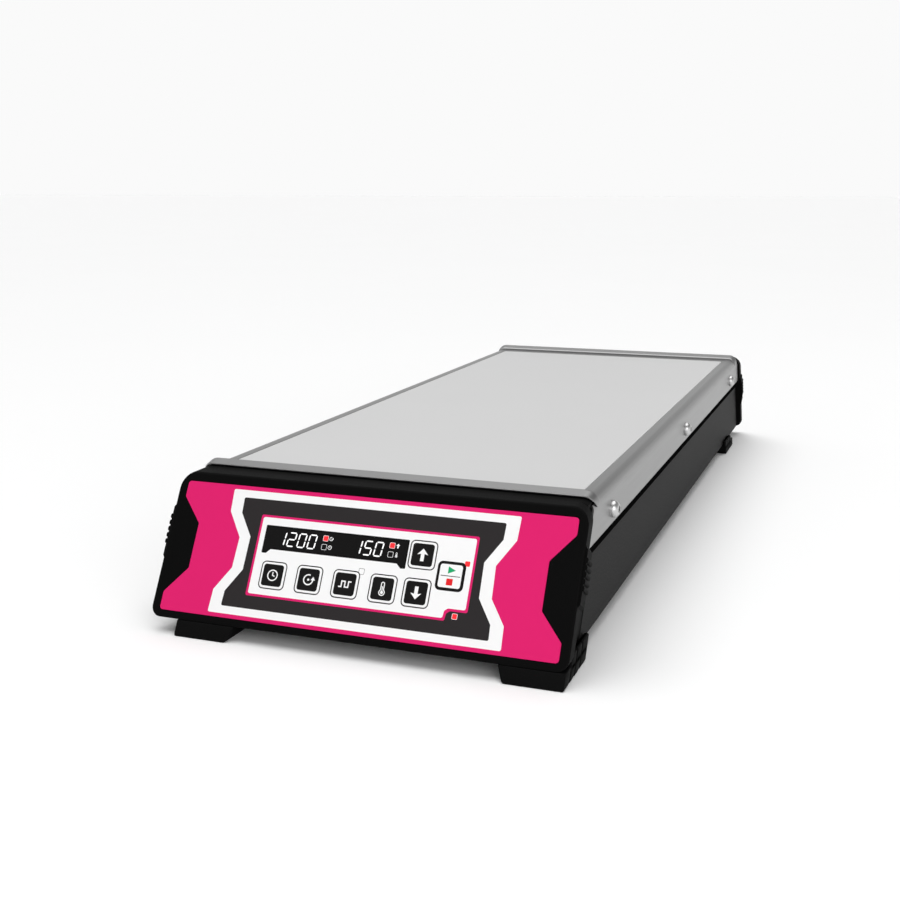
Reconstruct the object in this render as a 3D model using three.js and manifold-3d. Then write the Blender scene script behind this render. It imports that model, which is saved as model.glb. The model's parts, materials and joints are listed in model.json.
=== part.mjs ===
// Multi-position hotplate stirrer: a long, flat bench instrument with ten magnetic stirring
// places under one heated plate, in two rows of five.
// Millimetres, +Z up. X runs across the instrument and Y from the sloping keypad end to the
// connection end. The origin lies on the bench under the middle of the whole instrument.
import * as THREE from 'three';
import { mergeVertices } from 'three/addons/utils/BufferGeometryUtils.js';
import Module from 'manifold-3d';

const wasm = await Module();
wasm.setup();

// Driving dimensions

const housingWidth = 204.4;      // across the two end frames
const housingLength = 581.4;     // end frame to end frame, along their lower edges
const housingTop = 70;           // bench to the top of the end frames
const footHeight = 6.9;          // bench to the underside of the housing
const rake = THREE.MathUtils.degToRad(29);
const stirRows = 2;
const stirPlaces = 5;            // in each row

const coverInset = 1.7;          // the cover is this much narrower than the end frames, each side
const plateSideMargin = 9.5;     // from the cover's side to the plate
const plateEndMargin = 66.7;     // along Y, from the end frame's lower edge to the plate
const plateThickness = 4;
const plateBelowTop = 0.5;       // the plate lies this much below the top of the end frames
const placeMargin = 1;           // at the plate's sides, outside the stirring places
const endPlaceInset = 44;        // from the plate's end to the last stirring place

const seatGap = 0.3;             // between a piece and what it rests on
const cut = 1;                   // overrun of every cutting tool
const lap = 0.2;                 // how far solids that are joined run into each other
const roundSides = 16;           // sides of a small round piece
const postSides = 12;

// End frames
const rimDepth = 9;              // along Y, behind the sloping face
const rimCornerTop = 8;
const rimCornerBottom = 5;
const faceWall = 3.2;
const sleeveInset = 3.5;         // the sleeve behind the rim is this much narrower each side
const frontSleeveDepth = 21;     // behind the rim, before the pan begins
const rearSleeveDepth = 5.6;
const sleeveWall = 2.4;
const shelfThickness = 3.5;
const shelfInset = 3.4;
const gripRibs = 5;
const gripPitch = 3.1;
const gripRibWidth = 2.5;
const gripRibTop = 1.1;
const gripAboveWaist = 11.9;
const gripBulge = 1.8;
const frontGripLength = 11;
const rearGripLength = 6.8;
const gripPadRise = 1;           // of the pad under the ribs, out of the frame's side
const gripPadBelow = 8.5;        // the pad reaches this far past its outer ribs
const gripPadAbove = 6.3;
const gripPadTaper = 1.5;

// Sloping panel: the hourglass field that both end frames carry
const fieldSideMargin = 4.2;
const fieldTopMargin = 4.45;
const fieldBottom = 3.6;         // up the face, from the frame's lower edge
const waistInset = 10.5;
const waistBottom = 25;
const waistHeight = 22;
const waistTaper = 12.5;
const fieldCorner = 1.6;
const pocketDepth = 1.2;
const fieldThickness = 0.8;

// Keypad: places are measured across from the middle and up the face from the field's foot
const keypadWindowMargin = 4.7;  // beyond the display
const keypadWindowBottom = 11.5;
const keypadWindowTop = 51.5;
const keySize = 12.2;
const keyCorner = 1.8;
const keyGap = 0.3;
const keyProud = 0.3;
const keySkirtLap = 0.7;
const keySkirtThickness = 1.2;
const keyStem = 4;
const keyTravel = 0.6;
const keyRow = 22.6;
const keyRowGap = 6.25;
const firstKey = -42.4;
const arrowFromRow = 4.05;       // between the row's last key and the arrow keys
const arrowGap = 5.1;
const startGap = 2.4;            // between the arrow keys and the start key
const startRow = 31.8;
const displayOverhang = 1.8;     // beyond the first key
const displayToArrow = 1.7;
const displayAboveKeys = 4.5;
const displayHeight = 12.4;
const displayTab = 2;
const displayTabWidth = 2.4;
const modulePad = 2;
const moduleCorner = 0.5;
const moduleThickness = 4.6;
const boardSideMargin = 20;      // beyond the keypad's window
const boardHeight = 46;
const boardBottom = 8.5;
const boardThickness = 1.6;
const boardDepth = 6.3;
const bossRadius = 3;
const bossInset = 6;
const switchSize = 6;
const switchHeight = 1.4;

// Sheet-metal body
const coverSheet = 1.2;
const coverSetback = 7;          // along Y, from the front rim to the cover's side
const coverShoulder = 5;
const flangeDepth = 19.8;        // from the plate's top down
const lipHeight = 3.2;           // above the plate
const lipThickness = 1.5;
const lipInset = 1.7;
const lipCorner = 3.5;
const lipReach = 12.2;           // from the plate's end to the lip's outer face
const panSheet = 1.2;
const panCorner = 2;
const panBelowPlate = 7.5;
const windowCorner = 2;
const coverScrews = 3;
const coverScrewInset = 18;      // along Y, from the plate's end
const screwAboveFlange = 7.3;
const screwHeadRadius = 4.2;
const screwHeadHeight = 2;
const screwShankRadius = 2;
const screwShankLength = 7;
const screwHoleGap = 0.3;

// Feet
const footWidth = 26;
const footLength = 38;
const footBackLean = 4;
const footRibs = 4;
const footSlotWidth = 2.4;
const footSlotDepth = 1.6;
const rightFootInset = 0.6;      // from the housing's side
const leftFootInset = 17.2;
const rearFootSetback = 55;      // from the connection end's lower edge

// Drive
const deckScrewGap = 1.8;        // between the deck and the ends of the cover's screws
const deckOverhang = 2;          // beyond the plate's ends
const deckSheet = 2;
const hubBossRadius = 6;
const hubBossHeight = 2;
const spindleRadius = 3;
const spindleGap = 0.4;
const postRadius = 4;
const postSideInset = 5.5;
const postEndInset = 26;
const posts = 3;
const pulleyAboveDeck = 5;
const pulleyFlange = 1.2;
const pulleyRadius = 15;
const motorPulleyRadius = 12;
const flangeRise = 2;
const beltWidth = 6.5;
const beltThickness = 1.6;
const beltGap = 0.3;
const arcStep = THREE.MathUtils.degToRad(12);
const rotorClearance = 34;       // between neighbouring rotors
const rotorThickness = 8;
const rotorRunGap = 0.7;         // under the insulation
const carrierRise = 1;           // between the pulley and the magnet's carrier
const rotorSides = 12;
const magnetRim = 6;
const magnetWidth = 12;
const magnetHeight = 4.6;
const magnetGap = 0.3;
const motorRadius = 34;
const motorFloorGap = 2.1;       // above the pan
const motorSides = 36;
const shaftRadius = 2.6;
const shaftBoreGap = 0.4;
const shaftBoreDepth = 8;
const shaftHoleRadius = 7;

// Heating
const heaterSideInset = 11;      // from the plate's edge
const heaterEndInset = 4;
const heaterThickness = 1.2;
const insulationThickness = 3;
const probeLength = 22;
const probeWidth = 5;
const probeHeight = 3.5;
const probeY = 45;

// Connection end
const inletWidth = 27.4;
const inletHeight = 19.8;
const inletFlange = 3.2;
const inletFlangeThickness = 2;
const inletCorner = 1;
const inletDepth = 20;
const inletFloor = 2.5;
const inletWall = 1.6;
const inletFromWaist = 35.5;     // from the field's waist to the middle of the inlet
const inletRow = 30;
const pinLength = 8;
const pinWidth = 4;
const pinThickness = 2;
const pinSpread = 7;
const pinDrop = 2;
const earthRise = 2.5;
const switchFromInlet = 9.6;
const switchBodyWidth = 19;
const switchBodyHeight = 28;
const switchBodyDepth = 16;
const switchRim = 2;
const switchRimThickness = 2;
const rockerWidth = 14.4;
const rockerHeight = 20;
const rockerProud = 2.6;
const rockerDip = 1.4;
const rockerDeep = 5;
const rockerGap = 1.6;
const rockerPinRadius = 1.2;
const rockerPinDepth = 1.6;
const rockerTilt = THREE.MathUtils.degToRad(6);
const rockerHeelShare = 0.5;
const ventSlots = 9;
const ventWidth = 2.2;
const ventWall = 2.8;
const ventHeight = 22;
const ventsFromWaist = 10.4;
const rearPanelThickness = 0.9;
const inletWindowMargin = 9.1;   // from the inlet to the side of the frame's window
const ventWindowMargin = 4.9;
const supplyWidth = 84;
const supplyLength = 130;
const supplyThickness = 1.6;
const supplyRise = 5.9;          // above the pan
const supplyY = 92;
const supplyBossRadius = 3.5;
const supplyInset = 6;
const transformerSize = [38, 34, 16];
const capacitorRadius = 8;
const capacitorHeight = 15;

// Sizes and places that follow from those above

const frameEdgeY = -housingLength / 2;
const footReach = footHeight * Math.tan(rake);
const centreShift = footReach / 2;
const faceLength = (housingTop - footHeight) / Math.cos(rake);
const frontPanelBack = rimDepth + frontSleeveDepth;
const rearPanelBack = rimDepth + rearSleeveDepth;

const coverWidth = housingWidth - 2 * coverInset;
const plateWidth = coverWidth - 2 * plateSideMargin;
const plateLength = housingLength - 2 * plateEndMargin;
const plateTop = housingTop - plateBelowTop;
const plateBottom = plateTop - plateThickness;
const flangeBottom = plateTop - flangeDepth;
const lipWidth = coverWidth - 2 * lipInset;
const lipOuterY = plateLength / 2 + lipReach;
const shelfEndY = -lipOuterY - seatGap;
const panOuter = coverWidth / 2 - coverSheet - seatGap;
const panFloor = footHeight + panSheet;
const panWallTop = plateTop - panBelowPlate;
const coverScrewSpread = plateLength - 2 * coverScrewInset;
const coverScrewHeight = flangeBottom + screwAboveFlange;
const rightFootX = (housingWidth - footWidth) / 2 - rightFootInset;
const leftFootX = -(housingWidth - footWidth) / 2 + leftFootInset;

const fieldWidth = housingWidth - 2 * fieldSideMargin;
const fieldWaist = fieldWidth - 2 * waistInset;
const fieldTop = faceLength - fieldTopMargin;
const waistTop = waistBottom + waistHeight;
const gripStart = waistBottom + gripAboveWaist;

const keySkirt = keySize + 2 * keySkirtLap;
const keyColumn = keySize + keyRowGap;
const arrowColumn = firstKey + 3 * keyColumn + keySize + arrowFromRow;
const arrowRise = keySize + arrowGap;
const startColumn = arrowColumn + keySize + startGap;
const displayLeft = firstKey - keySize / 2 - displayOverhang;
const displayRight = arrowColumn - keySize / 2 - displayToArrow;
const displayBottom = keyRow + keySize / 2 + displayAboveKeys;
const displayTop = displayBottom + displayHeight;
const keypadWindowWidth = 2 * (keypadWindowMargin - displayLeft);
const boardWidth = keypadWindowWidth + 2 * boardSideMargin;

const inletX = -fieldWaist / 2 + inletFromWaist;
const switchX = inletX + inletWidth / 2 + inletFlange + switchFromInlet + switchRim
  + switchBodyWidth / 2;
const ventPitch = ventWidth + ventWall;
const ventSpan = (ventSlots - 1) * ventPitch + ventWidth;
const ventX = (fieldWaist - ventSpan) / 2 - ventsFromWaist;
const connectionWindowLeft = inletX - inletWidth / 2 - inletFlange - inletWindowMargin;
const connectionWindowRight = ventX + ventSpan / 2 + ventWindowMargin;

// What lies under the plate, from the plate down
const heaterWidth = plateWidth - 2 * heaterSideInset;
const heaterLength = plateLength - 2 * heaterEndInset;
const heaterTop = plateBottom - seatGap;
const insulationTop = heaterTop - heaterThickness - seatGap;
const rowSpacing = (plateWidth - 2 * placeMargin) / stirRows;
const stirPitch = (plateLength - 2 * endPlaceInset) / (stirPlaces - 1);
const rotorRadius = (rowSpacing - rotorClearance) / 2;
const rotorTop = insulationTop - insulationThickness - rotorRunGap;
const carrierFloor = rotorTop - rotorThickness;
const magnetLength = 2 * (rotorRadius - magnetRim);
const pulleyCeiling = carrierFloor - carrierRise;
const beltHigh = pulleyCeiling - pulleyFlange - beltGap;
const beltLow = beltHigh - beltWidth;
const pulleyFloor = beltLow - beltGap - pulleyFlange;
const deckTop = pulleyFloor - pulleyAboveDeck;
const deckUnderside = deckTop - deckSheet;
const deckWidth = coverWidth + 2 * (seatGap - screwShankLength - deckScrewGap);
const deckLength = plateLength + 2 * deckOverhang;
const postX = deckWidth / 2 - postSideInset;
const postSpread = deckLength - 2 * postEndInset;
const motorHeight = deckUnderside - seatGap - panFloor - motorFloorGap;
const supplyHeight = panFloor + supplyRise;

// Y of the sloping face at a height, and of a plane parallel to it further back
const faceY = (z, behind = 0) => frameEdgeY + (z - footHeight) * Math.tan(rake) + behind;

// Shapes and solids

function closed(geometry) {
  const bare = geometry.index ? geometry.clone() : geometry;
  bare.deleteAttribute('normal');
  bare.deleteAttribute('uv');
  const merged = mergeVertices(bare);
  const mesh = new wasm.Mesh({
    numProp: 3,
    vertProperties: new Float32Array(merged.attributes.position.array),
    triVerts: new Uint32Array(merged.index.array),
  });
  return new wasm.Manifold(mesh);
}

function opened(manifold) {
  const mesh = manifold.getMesh();
  const geometry = new THREE.BufferGeometry();
  geometry.setAttribute('position', new THREE.BufferAttribute(mesh.vertProperties, 3));
  geometry.setIndex(new THREE.BufferAttribute(mesh.triVerts, 1));
  const flat = geometry.toNonIndexed();
  flat.computeVertexNormals();
  return flat;
}

function sum(...geometries) {
  return opened(geometries.map(closed).reduce((all, next) => all.add(next)));
}

function minus(geometry, ...tools) {
  return opened(tools.map(closed).reduce((rest, tool) => rest.subtract(tool), closed(geometry)));
}

function common(...geometries) {
  return opened(geometries.map(closed).reduce((all, next) => all.intersect(next)));
}

function polygon(points) {
  return new THREE.Shape(points.map(([x, y]) => new THREE.Vector2(x, y)));
}

// A polygon whose corners are rounded by the radius that stands third in each point
function roundedPolygon(points, steps = 4) {
  const outline = [];
  points.forEach(([x, y, radius = 0], index) => {
    const corner = new THREE.Vector2(x, y);
    if (!radius) {
      outline.push(corner);
      return;
    }
    const before = points[(index + points.length - 1) % points.length];
    const after = points[(index + 1) % points.length];
    const inward = new THREE.Vector2(before[0] - x, before[1] - y).normalize();
    const onward = new THREE.Vector2(after[0] - x, after[1] - y).normalize();
    const half = inward.angleTo(onward) / 2;
    const reach = radius / Math.tan(half);
    const start = corner.clone().addScaledVector(inward, reach);
    const end = corner.clone().addScaledVector(onward, reach);
    const curve = new THREE.QuadraticBezierCurve(start, corner, end);
    outline.push(...curve.getPoints(steps));
  });
  return new THREE.Shape(outline);
}

function rectangle(x0, y0, x1, y1, radius = 0, steps = 4) {
  return roundedPolygon([
    [x0, y0, radius],
    [x1, y0, radius],
    [x1, y1, radius],
    [x0, y1, radius],
  ], steps);
}

function extrude(shape, depth) {
  return new THREE.ExtrudeGeometry(shape, { depth, bevelEnabled: false });
}

// A shape drawn in X and Z, run along Y
function runY(shape, y0, y1) {
  const geometry = extrude(shape, y1 - y0);
  geometry.rotateX(Math.PI / 2);
  return geometry.translate(0, y1, 0);
}

// A shape drawn in Y and Z, run along X
function runX(shape, x0, x1) {
  const geometry = extrude(shape, x1 - x0);
  geometry.rotateX(Math.PI / 2);
  geometry.rotateZ(Math.PI / 2);
  return geometry.translate(x0, 0, 0);
}

// A shape drawn in X and Y, run up from a height
function runZ(shape, z0, z1) {
  return extrude(shape, z1 - z0).translate(0, 0, z0);
}

function box(x0, y0, z0, x1, y1, z1) {
  const geometry = new THREE.BoxGeometry(x1 - x0, y1 - y0, z1 - z0);
  return geometry.translate((x0 + x1) / 2, (y0 + y1) / 2, (z0 + z1) / 2);
}

function post(radius, x, y, z0, z1, sides = roundSides) {
  const geometry = new THREE.CylinderGeometry(radius, radius, z1 - z0, sides);
  geometry.rotateX(Math.PI / 2);
  return geometry.translate(x, y, (z0 + z1) / 2);
}

// What is drawn on the sloping panel: X across, Y up the face and Z out of it
const onFace = new THREE.Matrix4()
  .makeTranslation(0, frameEdgeY, footHeight)
  .multiply(new THREE.Matrix4().makeRotationX(Math.PI / 2 - rake));

function onPanel(geometry) {
  return geometry.applyMatrix4(onFace);
}

function panelRun(shape, out0, out1) {
  return onPanel(runZ(shape, out0, out1));
}

const root = new THREE.Group();
const instrument = new THREE.Group();
instrument.position.y = centreShift;
root.add(instrument);

function add(name, geometry, colour, roughness, metalness, parent = instrument) {
  const material = new THREE.MeshStandardMaterial({ color: colour, roughness, metalness });
  const mesh = new THREE.Mesh(geometry, material);
  mesh.name = name;
  parent.add(mesh);
  return mesh;
}

// End frames: moulded, raked, ribbed at the sides, with a shelf that runs back to the cover

function frameOutline(inset, bottom, top, cornerTop, cornerBottom) {
  const half = housingWidth / 2 - inset;
  return roundedPolygon([
    [-half, bottom, cornerBottom],
    [half, bottom, cornerBottom],
    [half, top, cornerTop],
    [-half, top, cornerTop],
  ], 6);
}

function rakedBand(bottom, top, front, back) {
  return polygon([
    [faceY(bottom, front), bottom],
    [faceY(bottom, back), bottom],
    [faceY(top, back), top],
    [faceY(top, front), top],
  ]);
}

function hourglass(inset = 0) {
  const wide = fieldWidth / 2 - inset;
  const waist = fieldWaist / 2 - inset;
  const low = fieldBottom + inset;
  const high = fieldTop - inset;
  const right = [
    [wide, low, fieldCorner],
    [wide, waistBottom - waistTaper, fieldCorner],
    [waist, waistBottom, fieldCorner],
    [waist, waistTop, fieldCorner],
    [wide, waistTop + waistTaper, fieldCorner],
    [wide, high, fieldCorner],
  ];
  const left = right.map(([x, y, radius]) => [-x, y, radius]).reverse();
  return roundedPolygon([...right, ...left], 3);
}

// A pad with ribs across it, which also bridges the groove between the rim and the sleeve
function grip(side, length) {
  const low = gripStart - gripPadBelow;
  const high = gripStart + (gripRibs - 1) * gripPitch + gripPadAbove;
  const inner = housingWidth / 2 - sleeveInset - lap;
  const outer = housingWidth / 2 + gripPadRise;
  const tip = housingWidth / 2 + gripBulge;
  const points = [[inner, low], [outer - gripPadRise, low], [outer, low + gripPadTaper]];
  for (let index = 0; index < gripRibs; index += 1) {
    const middle = gripStart + index * gripPitch;
    points.push(
      [outer, middle - gripRibWidth / 2],
      [tip, middle - gripRibTop / 2],
      [tip, middle + gripRibTop / 2],
      [outer, middle + gripRibWidth / 2],
    );
  }
  points.push([outer, high - gripPadTaper], [outer - gripPadRise, high], [inner, high]);
  const shape = side > 0 ? points : points.map(([x, y]) => [-x, y]).reverse();
  return panelRun(polygon(shape), -length - cut, -cut);
}

function endFrame(openings, bosses, panelBack, gripLength) {
  const half = housingWidth / 2;
  const outline = frameOutline(0, footHeight, housingTop, rimCornerTop, rimCornerBottom);
  const band = runX(rakedBand(footHeight, housingTop, 0, rimDepth), -half, half);
  const shelfHalf = half - shelfInset;
  const shelfBottom = housingTop - shelfThickness;
  const shelf = runX(polygon([
    [faceY(housingTop, rimDepth / 2), shelfBottom],
    [shelfEndY, shelfBottom],
    [shelfEndY, housingTop],
    [faceY(housingTop, rimDepth / 2), housingTop],
  ]), -shelfHalf, shelfHalf);
  const sleeve = common(
    runX(rakedBand(footHeight, shelfBottom, rimDepth / 2, panelBack), -half, half),
    runY(frameOutline(sleeveInset, footHeight, shelfBottom, rimCornerBottom, rimCornerBottom),
      frameEdgeY - cut, cut),
  );
  const shell = common(
    sum(band, shelf),
    runY(outline, frameEdgeY - cut, cut),
  );
  const wallBack = faceWall / Math.cos(rake);
  const inside = common(
    runX(rakedBand(footHeight, housingTop, wallBack, panelBack + cut), -half, half),
    runY(frameOutline(sleeveInset + sleeveWall, footHeight + sleeveWall,
      shelfBottom - sleeveWall, rimCornerBottom, rimCornerBottom), frameEdgeY - cut, cut),
  );
  const grips = [-1, 1].map((side) => grip(side, gripLength));
  const tools = openings.map((shape) => panelRun(shape, -faceWall - cut, cut));
  const moulded = minus(sum(shell, sleeve, ...grips), inside,
    panelRun(hourglass(), -pocketDepth, cut), ...tools);
  return bosses.length ? sum(moulded, ...bosses) : moulded;
}

// Keypad end

const keys = [
  ['time_key', firstKey, keyRow],
  ['speed_key', firstKey + keyColumn, keyRow],
  ['pulse_key', firstKey + 2 * keyColumn, keyRow],
  ['temperature_key', firstKey + 3 * keyColumn, keyRow],
  ['down_key', arrowColumn, keyRow],
  ['up_key', arrowColumn, keyRow + arrowRise],
  ['start_stop_key', startColumn, startRow],
];

// Up the face from the field's foot, turned into up the face from the frame's edge
const up = (row) => row + fieldBottom;

const fieldFace = seatGap - pocketDepth + fieldThickness;
const fieldBack = seatGap - pocketDepth;

function boardBosses() {
  const half = boardWidth / 2 - bossInset;
  const rows = [boardBottom + bossInset, boardBottom + boardHeight - bossInset];
  const bosses = [];
  for (const x of [-half, half]) {
    for (const row of rows) {
      bosses.push(onPanel(post(bossRadius, x, up(row), -boardDepth + seatGap,
        -faceWall + lap)));
    }
  }
  return bosses;
}

function displayOutline(gap = 0) {
  const left = displayLeft - gap;
  const right = displayRight + gap;
  const low = up(displayBottom) - gap;
  const high = up(displayTop) + gap;
  const ledge = up(displayBottom) + displayTab - gap;
  return polygon([
    [left, low],
    [left + displayTabWidth, low],
    [left + displayTabWidth + displayTab, ledge],
    [right - displayTabWidth - displayTab, ledge],
    [right - displayTabWidth, low],
    [right, low],
    [right, high],
    [left, high],
  ]);
}

function keyOutline(x, row, size, radius) {
  const half = size / 2;
  return rectangle(x - half, up(row) - half, x + half, up(row) + half, radius, 3);
}

function fasciaOverlay() {
  const shape = hourglass(seatGap);
  shape.holes.push(displayOutline(keyGap));
  for (const [, x, row] of keys) {
    shape.holes.push(keyOutline(x, row, keySize + 2 * keyGap, keyCorner + keyGap));
  }
  return panelRun(shape, fieldBack, fieldFace);
}

function keyCap(x, row) {
  const skirtTop = fieldBack - keyGap;
  const skirtBottom = skirtTop - keySkirtThickness;
  const cap = panelRun(keyOutline(x, row, keySize, keyCorner), skirtTop - lap,
    fieldFace + keyProud);
  const skirt = panelRun(keyOutline(x, row, keySkirt, keyCorner), skirtBottom, skirtTop);
  const half = keyStem / 2;
  const stem = onPanel(box(x - half, up(row) - half, -boardDepth + switchHeight + keyTravel
    + seatGap, x + half, up(row) + half, skirtBottom + lap));
  return sum(cap, skirt, stem);
}

function controlBoard() {
  const half = boardWidth / 2;
  const plate = panelRun(rectangle(-half, up(boardBottom), half,
    up(boardBottom + boardHeight), bossRadius), -boardDepth - boardThickness, -boardDepth);
  const pads = keys.map(([, x, row]) => onPanel(box(
    x - switchSize / 2, up(row) - switchSize / 2, -boardDepth - lap,
    x + switchSize / 2, up(row) + switchSize / 2, -boardDepth + switchHeight,
  )));
  return sum(plate, ...pads);
}

function displayModule() {
  const front = fieldBack - seatGap;
  return panelRun(rectangle(displayLeft + modulePad, up(displayBottom + displayTab),
    displayRight - modulePad, up(displayTop - modulePad / 2), moduleCorner, 2),
  Math.max(front - moduleThickness, -boardDepth + seatGap), front);
}

add('front_bezel', endFrame([
  rectangle(-keypadWindowWidth / 2, up(keypadWindowBottom), keypadWindowWidth / 2,
    up(keypadWindowTop), fieldCorner),
], boardBosses(), frontPanelBack, frontGripLength), 0x101010, 0.45, 0);
add('fascia_overlay', fasciaOverlay(), 0xe22472, 0.4, 0);
add('display_window', panelRun(displayOutline(), fieldBack, fieldFace), 0x1c1b1b, 0.1, 0);
add('display_module', displayModule(), 0x2a2a2a, 0.6, 0);
add('control_board', controlBoard(), 0x1f5f3a, 0.6, 0);
for (const [name, x, row] of keys) add(name, keyCap(x, row), 0x161616, 0.45, 0);

// Connection end: the same frame turned about, with a plate for the inlet and the switch

const rear = new THREE.Group();
rear.rotation.z = Math.PI;
instrument.add(rear);

function centred(x, row, width, height, radius = 0) {
  return rectangle(x - width / 2, up(row) - height / 2, x + width / 2, up(row) + height / 2,
    radius, 3);
}

function rearPanel() {
  const front = fieldBack + rearPanelThickness;
  const holes = [
    centred(inletX, inletRow, inletWidth + 2 * seatGap, inletHeight + 2 * seatGap),
    centred(switchX, inletRow, switchBodyWidth + 2 * seatGap, switchBodyHeight + 2 * seatGap),
  ];
  for (let index = 0; index < ventSlots; index += 1) {
    const x = ventX + (index - (ventSlots - 1) / 2) * ventPitch;
    holes.push(centred(x, inletRow, ventWidth, ventHeight));
  }
  return minus(panelRun(hourglass(seatGap), fieldBack, front),
    ...holes.map((hole) => panelRun(hole, fieldBack - cut, front + cut)));
}

function mainsInlet() {
  const front = fieldBack + rearPanelThickness + seatGap;
  const body = onPanel(runZ(centred(inletX, inletRow, inletWidth, inletHeight, inletCorner),
    front - inletDepth, front + lap));
  const flange = panelRun(centred(inletX, inletRow, inletWidth + 2 * inletFlange,
    inletHeight + 2 * inletFlange, inletCorner), front, front + inletFlangeThickness);
  const cavity = panelRun(centred(inletX, inletRow, inletWidth - 2 * inletWall,
    inletHeight - 2 * inletWall, inletCorner), front - inletDepth + inletFloor,
  front + inletFlangeThickness + cut);
  const pinFoot = front - inletDepth + inletFloor;
  const pins = [[-pinSpread, -pinDrop], [0, earthRise], [pinSpread, -pinDrop]].map(([dx, dy]) => (
    onPanel(box(inletX + dx - pinThickness / 2, up(inletRow) + dy - pinWidth / 2,
      pinFoot - lap, inletX + dx + pinThickness / 2, up(inletRow) + dy + pinWidth / 2,
      pinFoot + pinLength))
  ));
  return sum(minus(sum(body, flange), cavity), ...pins);
}

const rockerAxisOut = fieldBack + rearPanelThickness + seatGap + switchRimThickness / 2;

function switchFrame() {
  const front = fieldBack + rearPanelThickness + seatGap;
  const body = panelRun(centred(switchX, inletRow, switchBodyWidth, switchBodyHeight, inletCorner),
    front - switchBodyDepth, front + lap);
  const rim = panelRun(centred(switchX, inletRow, switchBodyWidth + 2 * switchRim,
    switchBodyHeight + 2 * switchRim, inletCorner), front, front + switchRimThickness);
  const well = panelRun(centred(switchX, inletRow, rockerWidth + 2 * seatGap,
    rockerHeight + 2 * rockerGap), rockerAxisOut - rockerDeep - rockerGap,
  front + switchRimThickness + cut);
  const bore = new THREE.CylinderGeometry(rockerPinRadius + seatGap, rockerPinRadius + seatGap,
    rockerWidth + 2 * rockerPinDepth + 2 * seatGap, roundSides);
  bore.rotateZ(Math.PI / 2);
  bore.translate(switchX, up(inletRow), rockerAxisOut - rockerDeep / 2);
  return minus(sum(body, rim), well, onPanel(bore));
}

function powerRocker() {
  const half = rockerHeight / 2;
  const profile = polygon([
    [-half, -rockerDip],
    [-half * rockerHeelShare, -rockerDeep],
    [half * rockerHeelShare, -rockerDeep],
    [half, -rockerDip],
    [half, rockerProud],
    [0, rockerProud - rockerDip],
    [-half, rockerProud],
  ]);
  const paddle = runX(profile, -rockerWidth / 2, rockerWidth / 2);
  paddle.translate(0, 0, rockerDeep / 2);
  paddle.rotateX(rockerTilt);
  paddle.translate(switchX, up(inletRow), rockerAxisOut - rockerDeep / 2);
  const pin = new THREE.CylinderGeometry(rockerPinRadius, rockerPinRadius,
    rockerWidth + 2 * rockerPinDepth, roundSides);
  pin.rotateZ(Math.PI / 2);
  pin.translate(switchX, up(inletRow), rockerAxisOut - rockerDeep / 2);
  return sum(onPanel(paddle), onPanel(pin));
}

add('rear_bezel', endFrame([
  rectangle(connectionWindowLeft, up(keypadWindowBottom), connectionWindowRight,
    up(keypadWindowTop), fieldCorner),
], [], rearPanelBack, rearGripLength), 0x101010, 0.45, 0, rear);
add('rear_panel', rearPanel(), 0x2b2b2b, 0.5, 0, rear);
add('mains_inlet', mainsInlet(), 0x141414, 0.5, 0, rear);
add('power_switch', switchFrame(), 0x141414, 0.5, 0, rear);
add('power_rocker', powerRocker(), 0x1c1c1c, 0.35, 0, rear);

// Sheet-metal body

// The side view of what lies between the two end frames
function bodySide(frontBehind, rearBehind, bottom, top) {
  return polygon([
    [faceY(bottom, frontBehind), bottom],
    [-faceY(bottom, rearBehind), bottom],
    [-faceY(top, rearBehind), top],
    [faceY(top, frontBehind), top],
  ]);
}

function channel(halfWidth, bottom, top, sheet, corner, openAtTop) {
  const inner = halfWidth - sheet;
  const innerCorner = Math.max(corner - sheet, 0);
  const foldOuter = openAtTop ? bottom : top;
  const foldInner = openAtTop ? bottom + sheet : top - sheet;
  const free = openAtTop ? top : bottom;
  const points = [
    [-halfWidth, free],
    [-halfWidth, foldOuter, corner],
    [halfWidth, foldOuter, corner],
    [halfWidth, free],
    [inner, free],
    [inner, foldInner, innerCorner],
    [-inner, foldInner, innerCorner],
    [-inner, free],
  ];
  return roundedPolygon(points, 6);
}

function screwYs() {
  const step = coverScrewSpread / (coverScrews - 1);
  return Array.from({ length: coverScrews }, (_, index) => -coverScrewSpread / 2 + index * step);
}

function screwBores() {
  return screwYs().map((y) => {
    const radius = screwShankRadius + screwHoleGap;
    const bore = new THREE.CylinderGeometry(radius, radius, coverWidth + 2 * cut, roundSides);
    bore.rotateZ(Math.PI / 2);
    return bore.translate(0, y, coverScrewHeight);
  });
}

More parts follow.
